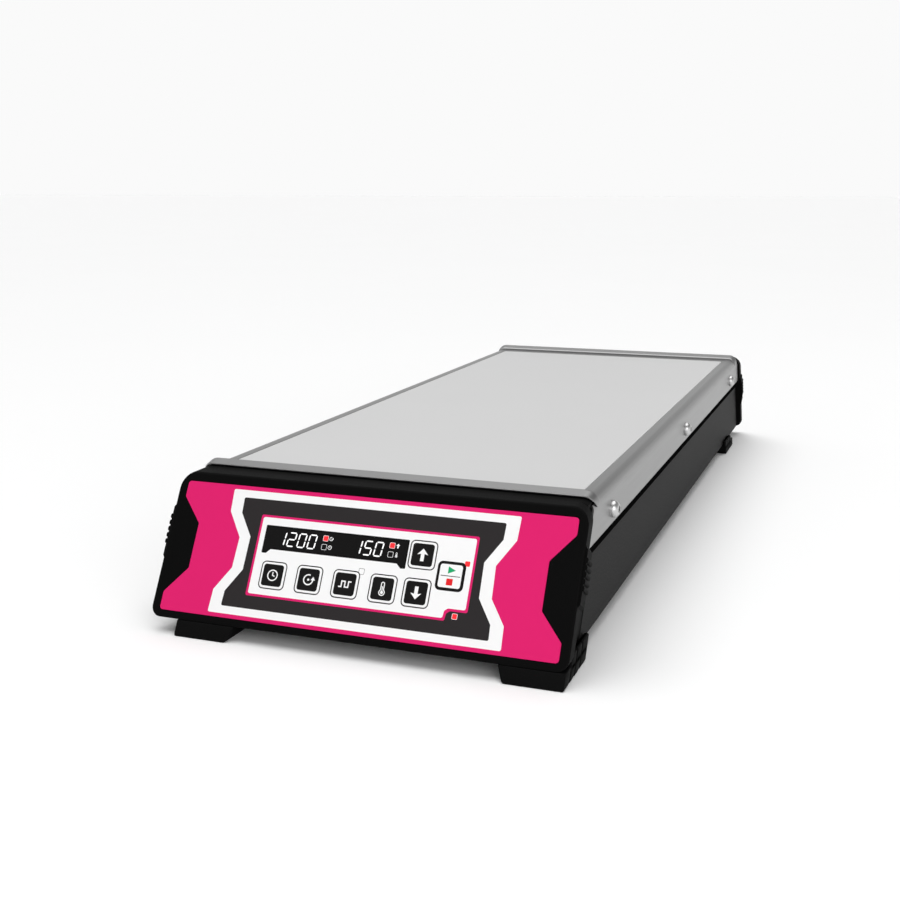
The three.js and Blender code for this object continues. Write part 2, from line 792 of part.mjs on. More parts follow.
function topCover() {
  const half = coverWidth / 2;
  const length = housingLength;
  const section = runY(channel(half, flangeBottom, plateTop, coverSheet, coverShoulder, false),
    -length / 2, length / 2);
  const side = bodySide(rimDepth + coverSetback, rimDepth + seatGap, flangeBottom - cut,
    plateTop + cut);
  const trimmed = common(section, runX(side, -half - cut, half + cut));
  const notchHalf = housingWidth / 2 - shelfInset + seatGap;
  const notchBottom = housingTop - shelfThickness - seatGap;
  const notches = [-1, 1].map((end) => box(-notchHalf,
    Math.min(end * lipOuterY, end * length), notchBottom, notchHalf,
    Math.max(end * lipOuterY, end * length), plateTop + cut));
  const window = runZ(rectangle(-plateWidth / 2 - seatGap, -plateLength / 2 - seatGap,
    plateWidth / 2 + seatGap, plateLength / 2 + seatGap, windowCorner + seatGap),
  plateBottom - cut, plateTop + cut);
  const lipShape = roundedPolygon([
    [-lipWidth / 2, plateTop - coverSheet],
    [lipWidth / 2, plateTop - coverSheet],
    [lipWidth / 2, plateTop + lipHeight, lipCorner],
    [-lipWidth / 2, plateTop + lipHeight, lipCorner],
  ], 5);
  const lips = [-1, 1].map((end) => runY(lipShape,
    end > 0 ? lipOuterY - lipThickness : -lipOuterY,
    end > 0 ? lipOuterY : -lipOuterY + lipThickness));
  return sum(minus(trimmed, ...notches, window, ...screwBores()), ...lips);
}

function basePan() {
  const section = runY(channel(panOuter, footHeight, panWallTop, panSheet, panCorner, true),
    -housingLength / 2, housingLength / 2);
  const side = bodySide(frontPanelBack + seatGap, rearPanelBack + seatGap, footHeight - cut,
    panWallTop + cut);
  const trimmed = common(section, runX(side, -panOuter - cut, panOuter + cut));
  const bosses = [];
  for (const sx of [-1, 1]) {
    for (const sy of [-1, 1]) {
      bosses.push(post(supplyBossRadius, sx * (supplyWidth / 2 - supplyInset),
        supplyY + sy * (supplyLength / 2 - supplyInset), panFloor - panSheet / 2,
        supplyHeight - seatGap, postSides));
    }
  }
  return sum(minus(trimmed, ...screwBores()), ...bosses);
}

function coverScrew(side, y) {
  const inner = coverWidth / 2 + seatGap;
  const dome = [];
  const steps = 4;
  for (let step = 0; step <= steps; step += 1) {
    const angle = (step / steps) * Math.PI / 2;
    dome.push(new THREE.Vector2(screwHeadRadius * Math.cos(angle),
      screwHeadHeight * Math.sin(angle)));
  }
  dome[dome.length - 1].x = 0;
  const profile = [
    new THREE.Vector2(0, -screwShankLength),
    new THREE.Vector2(screwShankRadius, -screwShankLength),
    new THREE.Vector2(screwShankRadius, 0),
    ...dome,
  ];
  const screw = new THREE.LatheGeometry(profile, postSides);
  screw.rotateZ(-side * Math.PI / 2);
  return screw.translate(side * inner, y, coverScrewHeight);
}

add('top_cover', topCover(), 0xa8a8a8, 0.35, 1);
add('hot_plate', runZ(rectangle(-plateWidth / 2, -plateLength / 2, plateWidth / 2,
  plateLength / 2, windowCorner), plateBottom, plateTop), 0xcccccc, 0.4, 1);
add('base_pan', basePan(), 0x393939, 0.5, 1);
for (const [sideName, side] of [['left', -1], ['right', 1]]) {
  screwYs().forEach((y, index) => {
    const place = ['front', 'middle', 'rear'][index] ?? `${index + 1}`;
    add(`cover_screw_${place}_${sideName}`, coverScrew(side, y), 0xd0d0d0, 0.2, 1);
  });
}

// Feet: the front ones carry the sloping face on down to the bench

function foot(x, front, outerSide) {
  const top = footHeight - seatGap;
  const lean = top * Math.tan(rake);
  const profile = polygon([
    [front, 0],
    [front + footLength, 0],
    [front + footLength + footBackLean, top],
    [front + lean, top],
  ]);
  const block = runX(profile, x - footWidth / 2, x + footWidth / 2);
  const edge = x + outerSide * footWidth / 2;
  const slots = [];
  const pitch = footLength / (footRibs + 1);
  for (let index = 0; index < footRibs; index += 1) {
    const y = front + footLength - (index + 0.5) * pitch;
    const slot = (z) => y + z * Math.tan(rake) - footSlotWidth / 2;
    const groove = polygon([
      [slot(-cut), -cut],
      [slot(-cut) + footSlotWidth, -cut],
      [slot(top + cut) + footSlotWidth, top + cut],
      [slot(top + cut), top + cut],
    ]);
    const deep = edge - outerSide * footSlotDepth;
    const clear = edge + outerSide * cut;
    slots.push(runX(groove, Math.min(deep, clear), Math.max(deep, clear)));
  }
  return minus(block, ...slots);
}

const frontFootY = frameEdgeY - footReach;
const rearFootY = -frameEdgeY - rearFootSetback - footLength - footBackLean;
for (const [name, x, y, side] of [
  ['front_left_foot', leftFootX, frontFootY, -1],
  ['front_right_foot', rightFootX, frontFootY, 1],
  ['rear_left_foot', leftFootX, rearFootY, -1],
  ['rear_right_foot', rightFootX, rearFootY, 1],
]) {
  add(name, foot(x, y, side), 0x151515, 0.7, 0);
}

// Drive: one belt winds from place to place, so that neighbours turn opposite ways

const stirX = rowSpacing / 2;
const stirY = (index) => (index - (stirPlaces - 1) / 2) * stirPitch;
const motorX = 0;
const motorY = stirY(0);

// The wheels in the order in which the belt meets them, with the way that each one turns
function beltWheels() {
  const wheels = [];
  for (let index = 0; index < stirPlaces; index += 1) {
    wheels.push({ x: -stirX, y: stirY(index), radius: pulleyRadius, turn: index % 2 ? 1 : -1 });
  }
  for (let index = stirPlaces - 1; index >= 0; index -= 1) {
    wheels.push({ x: stirX, y: stirY(index), radius: pulleyRadius, turn: index % 2 ? 1 : -1 });
  }
  wheels.push({ x: motorX, y: motorY, radius: motorPulleyRadius, turn: 1 });
  return wheels;
}

// Where a tangent leaves one wheel and meets the next, as an angle about each centre
function tangentAngles(from, to, middle) {
  const dx = to.x - from.x;
  const dy = to.y - from.y;
  const distance = Math.hypot(dx, dy);
  const heading = Math.atan2(dy, dx);
  const spread = (from.turn * (from.radius + middle) - to.turn * (to.radius + middle)) / distance;
  const travel = heading + Math.asin(spread);
  return [travel - from.turn * Math.PI / 2, travel - to.turn * Math.PI / 2];
}

function beltOutline(offset) {
  const wheels = beltWheels();
  const middle = beltGap + beltThickness / 2;
  const points = [];
  wheels.forEach((wheel, index) => {
    const before = wheels[(index + wheels.length - 1) % wheels.length];
    const after = wheels[(index + 1) % wheels.length];
    const arrive = tangentAngles(before, wheel, middle)[1];
    const leave = tangentAngles(wheel, after, middle)[0];
    const fullTurn = 2 * Math.PI;
    const turned = ((leave - arrive) * wheel.turn % fullTurn + fullTurn) % fullTurn;
    const sweep = turned * wheel.turn;
    const radius = wheel.radius + middle - wheel.turn * offset;
    const steps = Math.ceil(turned / arcStep);
    for (let step = 0; step <= steps; step += 1) {
      const angle = arrive + sweep * step / steps;
      points.push([wheel.x + radius * Math.cos(angle), wheel.y + radius * Math.sin(angle)]);
    }
  });
  return polygon(points);
}

function driveBelt() {
  return minus(
    runZ(beltOutline(beltThickness / 2), beltLow, beltHigh),
    runZ(beltOutline(-beltThickness / 2), beltLow - cut, beltHigh + cut),
  );
}

function wheelProfile(radius) {
  return [
    [radius + flangeRise, pulleyCeiling],
    [radius + flangeRise, pulleyCeiling - pulleyFlange],
    [radius, pulleyCeiling - pulleyFlange],
    [radius, pulleyFloor + pulleyFlange],
    [radius + flangeRise, pulleyFloor + pulleyFlange],
    [radius + flangeRise, pulleyFloor],
  ];
}

function lathe(points, sides) {
  const profile = points.map(([r, z]) => new THREE.Vector2(r, z));
  return new THREE.LatheGeometry(profile, sides).rotateX(Math.PI / 2);
}

const hubFloor = deckTop + hubBossHeight + seatGap;

function magnetRotor() {
  const bore = spindleRadius + spindleGap;
  const ceiling = pulleyCeiling + seatGap;
  const hub = lathe([
    [0, ceiling],
    [bore, ceiling],
    [bore, hubFloor],
    [hubBossRadius, hubFloor],
    [hubBossRadius, pulleyFloor],
    ...wheelProfile(pulleyRadius).reverse(),
    [hubBossRadius, pulleyCeiling],
    [hubBossRadius, carrierFloor],
    [rotorRadius, carrierFloor],
    [rotorRadius, rotorTop],
    [0, rotorTop],
  ], rotorSides);
  const half = magnetLength / 2 + magnetGap;
  const wide = magnetWidth / 2 + magnetGap;
  return minus(hub, box(-half, -wide, rotorTop - magnetHeight - magnetGap, half, wide,
    rotorTop + cut));
}

function barMagnet() {
  return box(-magnetLength / 2, -magnetWidth / 2, rotorTop - magnetHeight, magnetLength / 2,
    magnetWidth / 2, rotorTop);
}

function motorPulley() {
  return lathe([
    [0, pulleyCeiling],
    [shaftRadius, pulleyCeiling],
    ...wheelProfile(motorPulleyRadius),
    [shaftRadius, pulleyFloor],
    [shaftRadius, deckUnderside - shaftBoreDepth],
    [0, deckUnderside - shaftBoreDepth],
  ].reverse(), roundSides);
}

function motorCan() {
  const top = deckUnderside - seatGap;
  const floor = top - motorHeight;
  const bore = shaftRadius + shaftBoreGap;
  return lathe([
    [0, floor],
    [motorRadius, floor],
    [motorRadius, top],
    [bore, top],
    [bore, deckUnderside - shaftBoreDepth - seatGap],
    [0, deckUnderside - shaftBoreDepth - seatGap],
  ], motorSides);
}

function driveDeck() {
  const half = deckWidth / 2;
  const section = runY(channel(half, panFloor + seatGap, deckTop, deckSheet, deckSheet + cut,
    false), -deckLength / 2, deckLength / 2);
  const pieces = [];
  for (const x of [-stirX, stirX]) {
    for (let index = 0; index < stirPlaces; index += 1) {
      pieces.push(post(hubBossRadius, x, stirY(index), deckTop - deckSheet / 2,
        deckTop + hubBossHeight, postSides));
      pieces.push(post(spindleRadius, x, stirY(index), deckTop, pulleyCeiling, postSides));
    }
  }
  for (const x of [-postX, postX]) {
    for (let index = 0; index < posts; index += 1) {
      const y = -postSpread / 2 + index * postSpread / (posts - 1);
      pieces.push(post(postRadius, x, y, deckTop - deckSheet / 2, plateBottom - seatGap, postSides));
    }
  }
  const hole = post(shaftHoleRadius, motorX, motorY, deckUnderside - cut, deckTop + cut);
  return sum(minus(section, hole), ...pieces);
}

add('drive_deck', driveDeck(), 0xb8bcc0, 0.4, 1);
add('motor', motorCan(), 0x8c9094, 0.4, 1).position.set(motorX, motorY, 0);
add('motor_pulley', motorPulley(), 0xd8d4c8, 0.5, 0).position.set(motorX, motorY, 0);
add('drive_belt', driveBelt(), 0x1a1a1a, 0.8, 0);
[['left', -stirX], ['right', stirX]].forEach(([sideName, x]) => {
  for (let index = 0; index < stirPlaces; index += 1) {
    const place = `${sideName}_${index + 1}`;
    add(`magnet_rotor_${place}`, magnetRotor(), 0x303236, 0.5, 0)
      .position.set(x, stirY(index), 0);
    add(`bar_magnet_${place}`, barMagnet(), 0x5a5a5e, 0.5, 1)
      .position.set(x, stirY(index), 0);
  }
});

// Heating, from the plate down

function mat(top, thickness) {
  return box(-heaterWidth / 2, -heaterLength / 2, top - thickness, heaterWidth / 2,
    heaterLength / 2, top);
}

add('heater_mat', mat(heaterTop, heaterThickness), 0xb0602a, 0.7, 0);
add('insulation_board', mat(insulationTop, insulationThickness), 0xd9d4c6, 0.9, 0);
add('plate_probe', box(heaterWidth / 2 + seatGap, probeY - probeLength / 2,
  heaterTop - probeHeight, heaterWidth / 2 + seatGap + probeWidth, probeY + probeLength / 2,
  heaterTop), 0xc8c8c8, 0.3, 1);

// Power supply, on the pan's bosses under the deck

function powerSupply() {
  const half = supplyWidth / 2;
  const board = runZ(rectangle(-half, supplyY - supplyLength / 2, half,
    supplyY + supplyLength / 2, panCorner), supplyHeight, supplyHeight + supplyThickness);
  const [length, width, height] = transformerSize;
  const base = supplyHeight + supplyThickness / 2;
  const transformer = box(-length / 2, supplyY - width / 2, base, length / 2,
    supplyY + width / 2, base + height);
  const capacitorY = supplyY + width / 2 + 2 * capacitorRadius;
  const capacitors = [-1, 1].map((side) => post(capacitorRadius, side * length / 2, capacitorY,
    base, base + capacitorHeight, postSides));
  return sum(board, transformer, ...capacitors);
}

add('power_supply', powerSupply(), 0x1f5f3a, 0.6, 0);

export default root;
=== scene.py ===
# %% [markdown]
# # A multi-position hotplate stirrer
#
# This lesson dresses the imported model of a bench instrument: a long, flat box with a raked keypad
# end, one heated plate over ten stirring places, and a connection end. The CAD model says where
# each piece is and how it moves. Blender adds what the eye reads: soft moulded edges, printed
# film, brushed steel and rubber.

# %% Load the frame
import json
import math

import bmesh
import bpy
from mathutils import Matrix, Vector
from mathutils.geometry import delaunay_2d_cdt

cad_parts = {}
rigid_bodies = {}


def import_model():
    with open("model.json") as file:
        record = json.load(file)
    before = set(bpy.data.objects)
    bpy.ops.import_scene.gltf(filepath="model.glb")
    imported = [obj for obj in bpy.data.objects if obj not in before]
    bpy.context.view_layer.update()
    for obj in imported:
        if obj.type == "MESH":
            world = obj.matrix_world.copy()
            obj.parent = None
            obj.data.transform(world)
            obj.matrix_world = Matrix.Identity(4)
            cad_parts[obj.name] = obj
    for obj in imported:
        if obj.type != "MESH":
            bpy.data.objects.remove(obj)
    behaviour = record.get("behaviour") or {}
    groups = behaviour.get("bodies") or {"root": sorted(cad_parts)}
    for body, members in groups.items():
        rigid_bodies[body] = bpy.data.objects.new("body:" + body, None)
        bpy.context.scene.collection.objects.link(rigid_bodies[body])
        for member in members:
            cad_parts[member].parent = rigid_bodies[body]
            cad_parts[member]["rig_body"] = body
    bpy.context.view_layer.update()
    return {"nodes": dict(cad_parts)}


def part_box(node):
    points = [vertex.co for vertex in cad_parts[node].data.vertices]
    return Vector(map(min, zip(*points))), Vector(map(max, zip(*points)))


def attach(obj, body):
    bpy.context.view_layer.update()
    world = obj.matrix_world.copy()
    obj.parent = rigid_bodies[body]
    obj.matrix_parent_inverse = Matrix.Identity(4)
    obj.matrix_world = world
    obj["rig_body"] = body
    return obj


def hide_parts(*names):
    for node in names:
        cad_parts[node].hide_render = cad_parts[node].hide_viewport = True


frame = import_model()
nodes = frame["nodes"]
MM = 0.001

# %% [markdown]
# ## Camera
#
# A photograph fixes its camera: once the edges of the real object are matched to a pinhole view,
# the place, the tilt and the lens follow. The lens is written as its focal length in pixels of the
# 900-pixel picture, because that is what the match gives, and turned into millimetres of a 36 mm
# sensor.

# %% Camera
FRAME_PIXELS = 900
FOCAL_PIXELS = 1205
SENSOR_WIDTH = 36
CAMERA_PLACE = (220.1 * MM, -747.7 * MM, 205.2 * MM)
LOOKS_DOWN = math.radians(12.26)
STANDS_ROUND = math.radians(20.34)
camera_data = bpy.data.cameras.new("camera")
camera_data.sensor_width = SENSOR_WIDTH
camera_data.lens = FOCAL_PIXELS / FRAME_PIXELS * SENSOR_WIDTH
camera_data.clip_end = 50
camera = bpy.data.objects.new("camera", camera_data)
camera.location = CAMERA_PLACE
camera.rotation_euler = (math.pi / 2 - LOOKS_DOWN, 0, STANDS_ROUND)
bpy.context.scene.collection.objects.link(camera)
bpy.context.scene.camera = camera
print("lens:", round(camera_data.lens, 1), "mm")

# %% [markdown]
# ## Colours
#
# A colour picked from a screen is coded in sRGB, which spends its steps where the eye needs them.
# Shaders work with light itself, so one function undoes that coding. The Standard view then gives
# the same colour back on the screen.

# %% Colours
def linear(hex_colour):
    """A screen colour such as "E22472" as the linear values that a shader reads."""
    screen = [int(hex_colour[i:i + 2], 16) / 255 for i in (0, 2, 4)]
    light = [v / 12.92 if v <= 0.04045 else ((v + 0.055) / 1.055) ** 2.4 for v in screen]
    return (*light, 1.0)


bpy.context.scene.view_settings.view_transform = "Standard"
print("mid grey 808080 is", round(linear("808080")[0], 3), "in linear light")

# %% [markdown]
# ## How a finish is made
#
# Every finish here is a Principled shader fed by a few noise patterns. One helper adds any node
# with its settings and links. A second one holds the recipe that most finishes share: two close
# colours that drift over patches, and a grain that sets both the roughness and a shallow bump.
# A noise with scale 1000 has one cell per millimetre, so each grain is given in millimetres.

# %% One helper for every node
def add_node(material, kind, settings=None, links=None):
    """Adds a node. Settings and links go to an input of that name or number, or to a property."""
    node = material.node_tree.nodes.new(kind)
    for name, value in (settings or {}).items():
        if isinstance(name, int) or name in node.inputs:
            node.inputs[name].default_value = value
        else:
            setattr(node, name, value)
    for name, output in (links or {}).items():
        material.node_tree.links.new(output, node.inputs[name])
    return node


def feed(material, output, node, name):
    material.node_tree.links.new(output, node.inputs[name])


def surface(name, colour, roughness, metallic=0.0):
    """A new material, its shader, and the place in metres that its patterns read."""
    material = bpy.data.materials.new(name)
    material.use_nodes = True
    shader = material.node_tree.nodes["Principled BSDF"]
    shader.inputs["Base Color"].default_value = linear(colour)
    shader.inputs["Roughness"].default_value = roughness
    shader.inputs["Metallic"].default_value = metallic
    place = add_node(material, "ShaderNodeTexCoord").outputs["Object"]
    return material, shader, place


def per(size):
    """Cells per metre of a pattern whose cells have that size."""
    return 1 / size


# %% The recipe that most finishes share
def grained(name, colours, patch, roughness, grain, depth, metallic=0.0, stretch=(1, 1, 1),
            sockets=None):
    """Two close colours over patches, and a grain with its roughness range and bump depth.
    Sockets are the shader's own constant values, by name."""
    material, shader, place = surface(name, colours[0], sum(roughness) / 2, metallic)
    for socket, value in (sockets or {}).items():
        shader.inputs[socket].default_value = value
    drift = add_node(material, "ShaderNodeTexNoise", {"Scale": per(patch), "Detail": 2.0},
                     {"Vector": place})
    tone = add_node(material, "ShaderNodeMix",
                    {"data_type": "RGBA", 6: linear(colours[0]), 7: linear(colours[1])},
                    {0: drift.outputs["Fac"]})
    feed(material, tone.outputs[2], shader, "Base Color")
    run = add_node(material, "ShaderNodeMapping", {"Scale": stretch}, {"Vector": place})
    grit = add_node(material, "ShaderNodeTexNoise", {"Scale": per(grain), "Detail": 3.0},
                    {"Vector": run.outputs["Vector"]})
    gloss = add_node(material, "ShaderNodeMapRange",
                     {"From Min": 0.3, "From Max": 0.7,
                      "To Min": roughness[0], "To Max": roughness[1]},
                     {"Value": grit.outputs["Fac"]})
    feed(material, gloss.outputs["Result"], shader, "Roughness")
    relief = add_node(material, "ShaderNodeBump", {"Strength": 1.0, "Distance": depth},
                      {"Height": grit.outputs["Fac"]})
    feed(material, relief.outputs["Normal"], shader, "Normal")
    return material


print("finish recipe ready")

# %% [markdown]
# ## Floor and light
#
# A catalogue picture is lit by large soft boxes over pale paper, so that no shadow has an edge.
# The paper is a wide flat sheet. The sky stands for the room: white round the horizon, where the
# paper ends, and dim higher up, so that dark plastic stays dark. A broad sun from above lights
# the whole sheet evenly, and one area lamp in front lights the keypad.

# %% Floor
PAPER_HALF = 30.0
paper_mesh = bpy.data.meshes.new("paper_floor")
paper_mesh.from_pydata([(x * PAPER_HALF, y * PAPER_HALF, 0)
                        for x, y in ((-1, -1), (1, -1), (1, 1), (-1, 1))], [], [(0, 1, 2, 3)])
sheet = bpy.data.objects.new("paper_floor", paper_mesh)
bpy.context.scene.collection.objects.link(sheet)
print("paper:", 2 * PAPER_HALF, "m wide")

# %% Sky
SKY_AT_HORIZON, SKY_OVERHEAD = 1.0, 0.3
world = bpy.data.worlds.new("studio")
world.use_nodes = True
sky = world.node_tree.nodes["Background"]
sky.inputs["Color"].default_value = linear("FAFAFA")
way = add_node(world, "ShaderNodeTexCoord").outputs["Generated"]
height = add_node(world, "ShaderNodeSeparateXYZ", None, {"Vector": way}).outputs["Z"]
dimmer = add_node(world, "ShaderNodeMapRange",
                  {"interpolation_type": "SMOOTHSTEP", "From Min": 0.15, "From Max": 0.4,
                   "To Min": SKY_AT_HORIZON, "To Max": SKY_OVERHEAD}, {"Value": height})
feed(world, dimmer.outputs["Result"], sky, "Strength")
bpy.context.scene.world = world
print("sky strength at the horizon and overhead:", SKY_AT_HORIZON, "and", SKY_OVERHEAD)

# %% Lamps
def add_lamp(name, kind, place, aim, energy):
    data = bpy.data.lights.new(name, kind)
    data.energy = energy
    lamp = bpy.data.objects.new(name, data)
    lamp.location = place
    lamp.rotation_euler = (Vector(aim) - Vector(place)).to_track_quat("-Z", "Y").to_euler()
    bpy.context.scene.collection.objects.link(lamp)
    return data


overhead = add_lamp("broad_sun", "SUN", place=(-0.3, 0.4, 2), aim=(0, 0, 0), energy=2.1)
overhead.angle = math.radians(70)
front_box = add_lamp("soft_box_front", "AREA", place=(1.1, -1.6, 0.7), aim=(0, -0.2, 0.05),
                     energy=12)
front_box.shape = "RECTANGLE"
front_box.size, front_box.size_y = 1.5, 1.1

# %% [markdown]
# ## Finishes of the case
#
# The end frames are injection-moulded ABS from a spark-eroded mould, which leaves a fine, even
# orange peel that breaks up highlights. The cover is stainless sheet, brushed along its length:
# scratches hundreds of times longer than wide, so highlights spread across them. The pan is steel
# with a powder coat, whose melted grains leave a soft pebble. The heated plate is aluminium,
# blasted with fine beads and anodised, so it looks even and pale from any side.

# %% Case finishes
# Black plastic and paint mirror the white studio faintly, so their specular levels are low.
GLOSS = "Specular IOR Level"
moulded_abs = grained(
    "moulded_abs", ("0B0B0B", "0D0D0D"), 40 * MM, (0.48, 0.6), 0.7 * MM, 0.015 * MM,
    sockets={"IOR": 1.53, GLOSS: 0.02})

# A real scratch is about 0.02 mm wide. Half a millimetre is the finest that the picture shows.
brushed_steel = grained(
    "brushed_stainless_steel", ("929292", "959595"), 90 * MM, (0.35, 0.39), 0.5 * MM, 0.0005 * MM,
    metallic=1.0, stretch=(1, 0.008, 1))

powder_coat = grained(
    "powder_coated_steel", ("161616", "181818"), 120 * MM, (0.5, 0.6), 0.9 * MM, 0.008 * MM,
    sockets={GLOSS: 0.05})

anodised_plate = grained(
    "bead_blasted_anodised_aluminium", ("CECECE", "CBCBCB"), 110 * MM, (0.5, 0.6), 0.6 * MM,
    0.006 * MM, sockets={GLOSS: 0.2})

# A tumbled screw head is bright, with small highlights that blur a little at their edges.
polished_steel = grained(
    "polished_stainless_steel", ("CCCCCC", "C4C4C4"), 3 * MM, (0.3, 0.36), 0.4 * MM, 0.001 * MM,
    metallic=1.0)

# Moulded rubber is matt and nearly black, and keeps the faint grain of its mould.
moulded_rubber = grained(
    "moulded_rubber", ("070707", "0A0A0A"), 12 * MM, (0.6, 0.75), 0.5 * MM, 0.015 * MM,
    sockets={GLOSS: 0.06})

# A matt black with no gloss at all: it paints the shadow under the cover's flanges as a black line.
flange_shadow_paint = grained(
    "painted_flange_shadow_black", ("080808", "0B0B0B"), 8 * MM, (0.9, 1.0), 0.5 * MM, 0.03 * MM,
    sockets={GLOSS: 0.0})
print("finishes so far:", len(bpy.data.materials))

# %% [markdown]
# ## Finishes of the keypad
#
# A keypad front is polyester film, screen-printed from behind and lightly embossed in front, so
# each ink has the same satin skin. The display has a glossy acrylic pane. Lit digits and lamps
# send out a little light of their own, which keeps them bright on a dark pane.

# %% Keypad finishes
def ink(name, *colours):
    """A printed ink under the film's satin skin."""
    return grained(name, colours, 60 * MM, (0.38, 0.48), 0.35 * MM, 0.004 * MM,
                   sockets={"IOR": 1.58, GLOSS: 0.12})


def lit(name, colour, glow):
    """A lamp or lit bar behind the film, in one even colour."""
    material, shader, place = surface(name, colour, 0.25)
    shader.inputs["Emission Color"].default_value = linear(colour)
    shader.inputs["Emission Strength"].default_value = glow
    haze = add_node(material, "ShaderNodeTexNoise", {"Scale": per(0.8 * MM)}, {"Vector": place})
    spread = add_node(material, "ShaderNodeMapRange", {"To Min": 0.2, "To Max": 0.3},
                      {"Value": haze.outputs["Fac"]})
    feed(material, spread.outputs["Result"], shader, "Roughness")
    return material


pink_ink = ink("pink_ink_on_film", "DE1E6C", "DA1C69")
white_ink = ink("white_ink_on_film", "F6F6F6", "F1F1F1")
dark_ink = ink("dark_grey_ink_on_film", "2C292A", "2A2728")
black_ink = ink("black_ink_on_film", "121111", "141313")
green_ink = ink("green_ink_on_film", "1FA86A", "1CA266")
red_ink = ink("red_ink_on_film", "E4262C", "DE2429")
acrylic = grained(
    "black_acrylic", ("0C0B0B", "0E0D0D"), 30 * MM, (0.08, 0.14), 3 * MM, 0.0005 * MM,
    sockets={"IOR": 1.49, GLOSS: 0.3})
lit_white = lit("lit_digit", "F2F2F2", 0.35)
lit_red = lit("lit_red_lamp", "EE2A30", 0.5)
KEYPAD_INKS = [pink_ink, white_ink, dark_ink, black_ink, green_ink, red_ink, acrylic, lit_white,
               lit_red]
PINK, WHITE, DARK, BLACK, GREEN, RED, PANE, LIT, LAMP = range(len(KEYPAD_INKS))
# A shape that is printed in HOLE is cut out.
HOLE = None
print("keypad inks:", [m.name for m in KEYPAD_INKS])

# %% [markdown]
# ## The raked panel as a drawing board
#
# Everything on a panel is drawn flat: X across, Y up the slope from the frame's lower edge, and Z
# out of the face. One matrix stands that drawing on the keypad end, and the same matrix turned
# about the middle of the instrument stands it on the connection end.

# %% Drawing boards
RAKE = math.radians(29)
front_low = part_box("front_bezel")[0]
rear_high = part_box("rear_bezel")[1]
FACE_BOARD = (Matrix.Translation((0, front_low.y, front_low.z))
              @ Matrix.Rotation(math.pi / 2 - RAKE, 4, "X"))
middle_y = (front_low.y + rear_high.y) / 2
REAR_BOARD = (Matrix.Translation((0, middle_y, 0)) @ Matrix.Rotation(math.pi, 4, "Z")
              @ Matrix.Translation((0, -middle_y, 0)) @ FACE_BOARD)
print("face foot:", [round(v / MM, 2) for v in FACE_BOARD.translation])

# %% [markdown]
# ## Flat shapes
#
# Printed marks are closed loops of points. Rounded corners are arcs, a line with a width is its
# own outline, and a turned or scaled mark is the same loop moved. With these few functions every
# mark on the keypad can be drawn.

# %% Loops
def circle(x, y, radius, steps=28):
    return [(x + radius * math.cos(2 * math.pi * i / steps),
             y + radius * math.sin(2 * math.pi * i / steps)) for i in range(steps)]


def rounded(points, radius, steps=5):
    """The closed outline through these corners, rounded by one radius or by one for each."""
    radii = radius if isinstance(radius, list) else [radius] * len(points)
    loop = []
    for i, (corner, radius) in enumerate(zip(points, radii)):
        here = Vector(corner)
        back = (Vector(points[i - 1]) - here).normalized()
        ahead = (Vector(points[(i + 1) % len(points)]) - here).normalized()
        half = back.angle(ahead) / 2
        reach = radius / math.tan(half)
        centre = here + (back + ahead).normalized() * (radius / math.sin(half))
        start, end = here + back * reach - centre, here + ahead * reach - centre
        sweep = start.angle_signed(end)
        for step in range(steps + 1):
            turn = -sweep * step / steps
            loop.append((centre.x + start.x * math.cos(turn) - start.y * math.sin(turn),
                         centre.y + start.x * math.sin(turn) + start.y * math.cos(turn)))
    return loop


def block(x, y, width, height, radius, steps=5):
    w, h = width / 2, height / 2
    return rounded([(x - w, y - h), (x + w, y - h), (x + w, y + h), (x - w, y + h)],
                   radius, steps)


def stroke(points, width):
    """The outline of a line of this width through the points."""
    line = [Vector(p) for p in points]
    left, right = [], []
    for i, here in enumerate(line):
        before = (here - line[i - 1]).normalized() if i else None
        after = (line[i + 1] - here).normalized() if i + 1 < len(line) else None
        along = ((before or after) + (after or before)).normalized()
        side = Vector((-along.y, along.x))
        lean = side.dot(Vector((-(before or after).y, (before or after).x)))
        left.append(tuple(here + side * (width / 2 / lean)))
        right.append(tuple(here - side * (width / 2 / lean)))
    return left + right[::-1]


print("a rounded block has", len(block(0, 0, 1, 1, 0.1)), "points")

# %% [markdown]
# ## Printing
#
# Inks on a film lie side by side in one skin, so a print is modelled as one flat sheet cut along
# every outline. Delaunay triangulation does the cutting: it fills the plane with triangles that
# respect each outline, and each triangle then takes the ink of the last shape that holds it.
# Stacked decals would be quicker, but would stand proud and cast shadows.

# %% Print a sheet
SHARP_TURN = math.radians(30)


def holds(loop, x, y):
    """Whether a point lies inside a closed loop."""
    inside = False
    for i, (ax, ay) in enumerate(loop):
        bx, by = loop[i - 1]
        if (ay > y) != (by > y) and x < ax + (y - ay) / (by - ay) * (bx - ax):
            inside = not inside
    return inside


def ink_at(layers, x, y):
    tone = HOLE
    for loop, layer_tone in layers:
        if holds(loop, x, y):
            tone = layer_tone
    return tone


def print_sheet(shape, layers, height):
    """Adds the printed faces to a bmesh at that height above the board."""
    points, edges = [], []
    for loop, _ in layers:
        first = len(points)
        points += [Vector(p) for p in loop]
        edges += [(first + i, first + (i + 1) % len(loop)) for i in range(len(loop))]
    flat, _, triangles, *_ = delaunay_2d_cdt(points, edges, [], 0, 1e-7)
    corners = [shape.verts.new((p.x, p.y, height)) for p in flat]
    for triangle in triangles:
        x = sum(flat[i].x for i in triangle) / 3
        y = sum(flat[i].y for i in triangle) / 3
        tone = ink_at(layers, x, y)
        if tone is not HOLE:
            shape.faces.new([corners[i] for i in triangle]).material_index = tone
    loose = [v for v in shape.verts if not v.link_faces]
    bmesh.ops.delete(shape, geom=loose, context="VERTS")


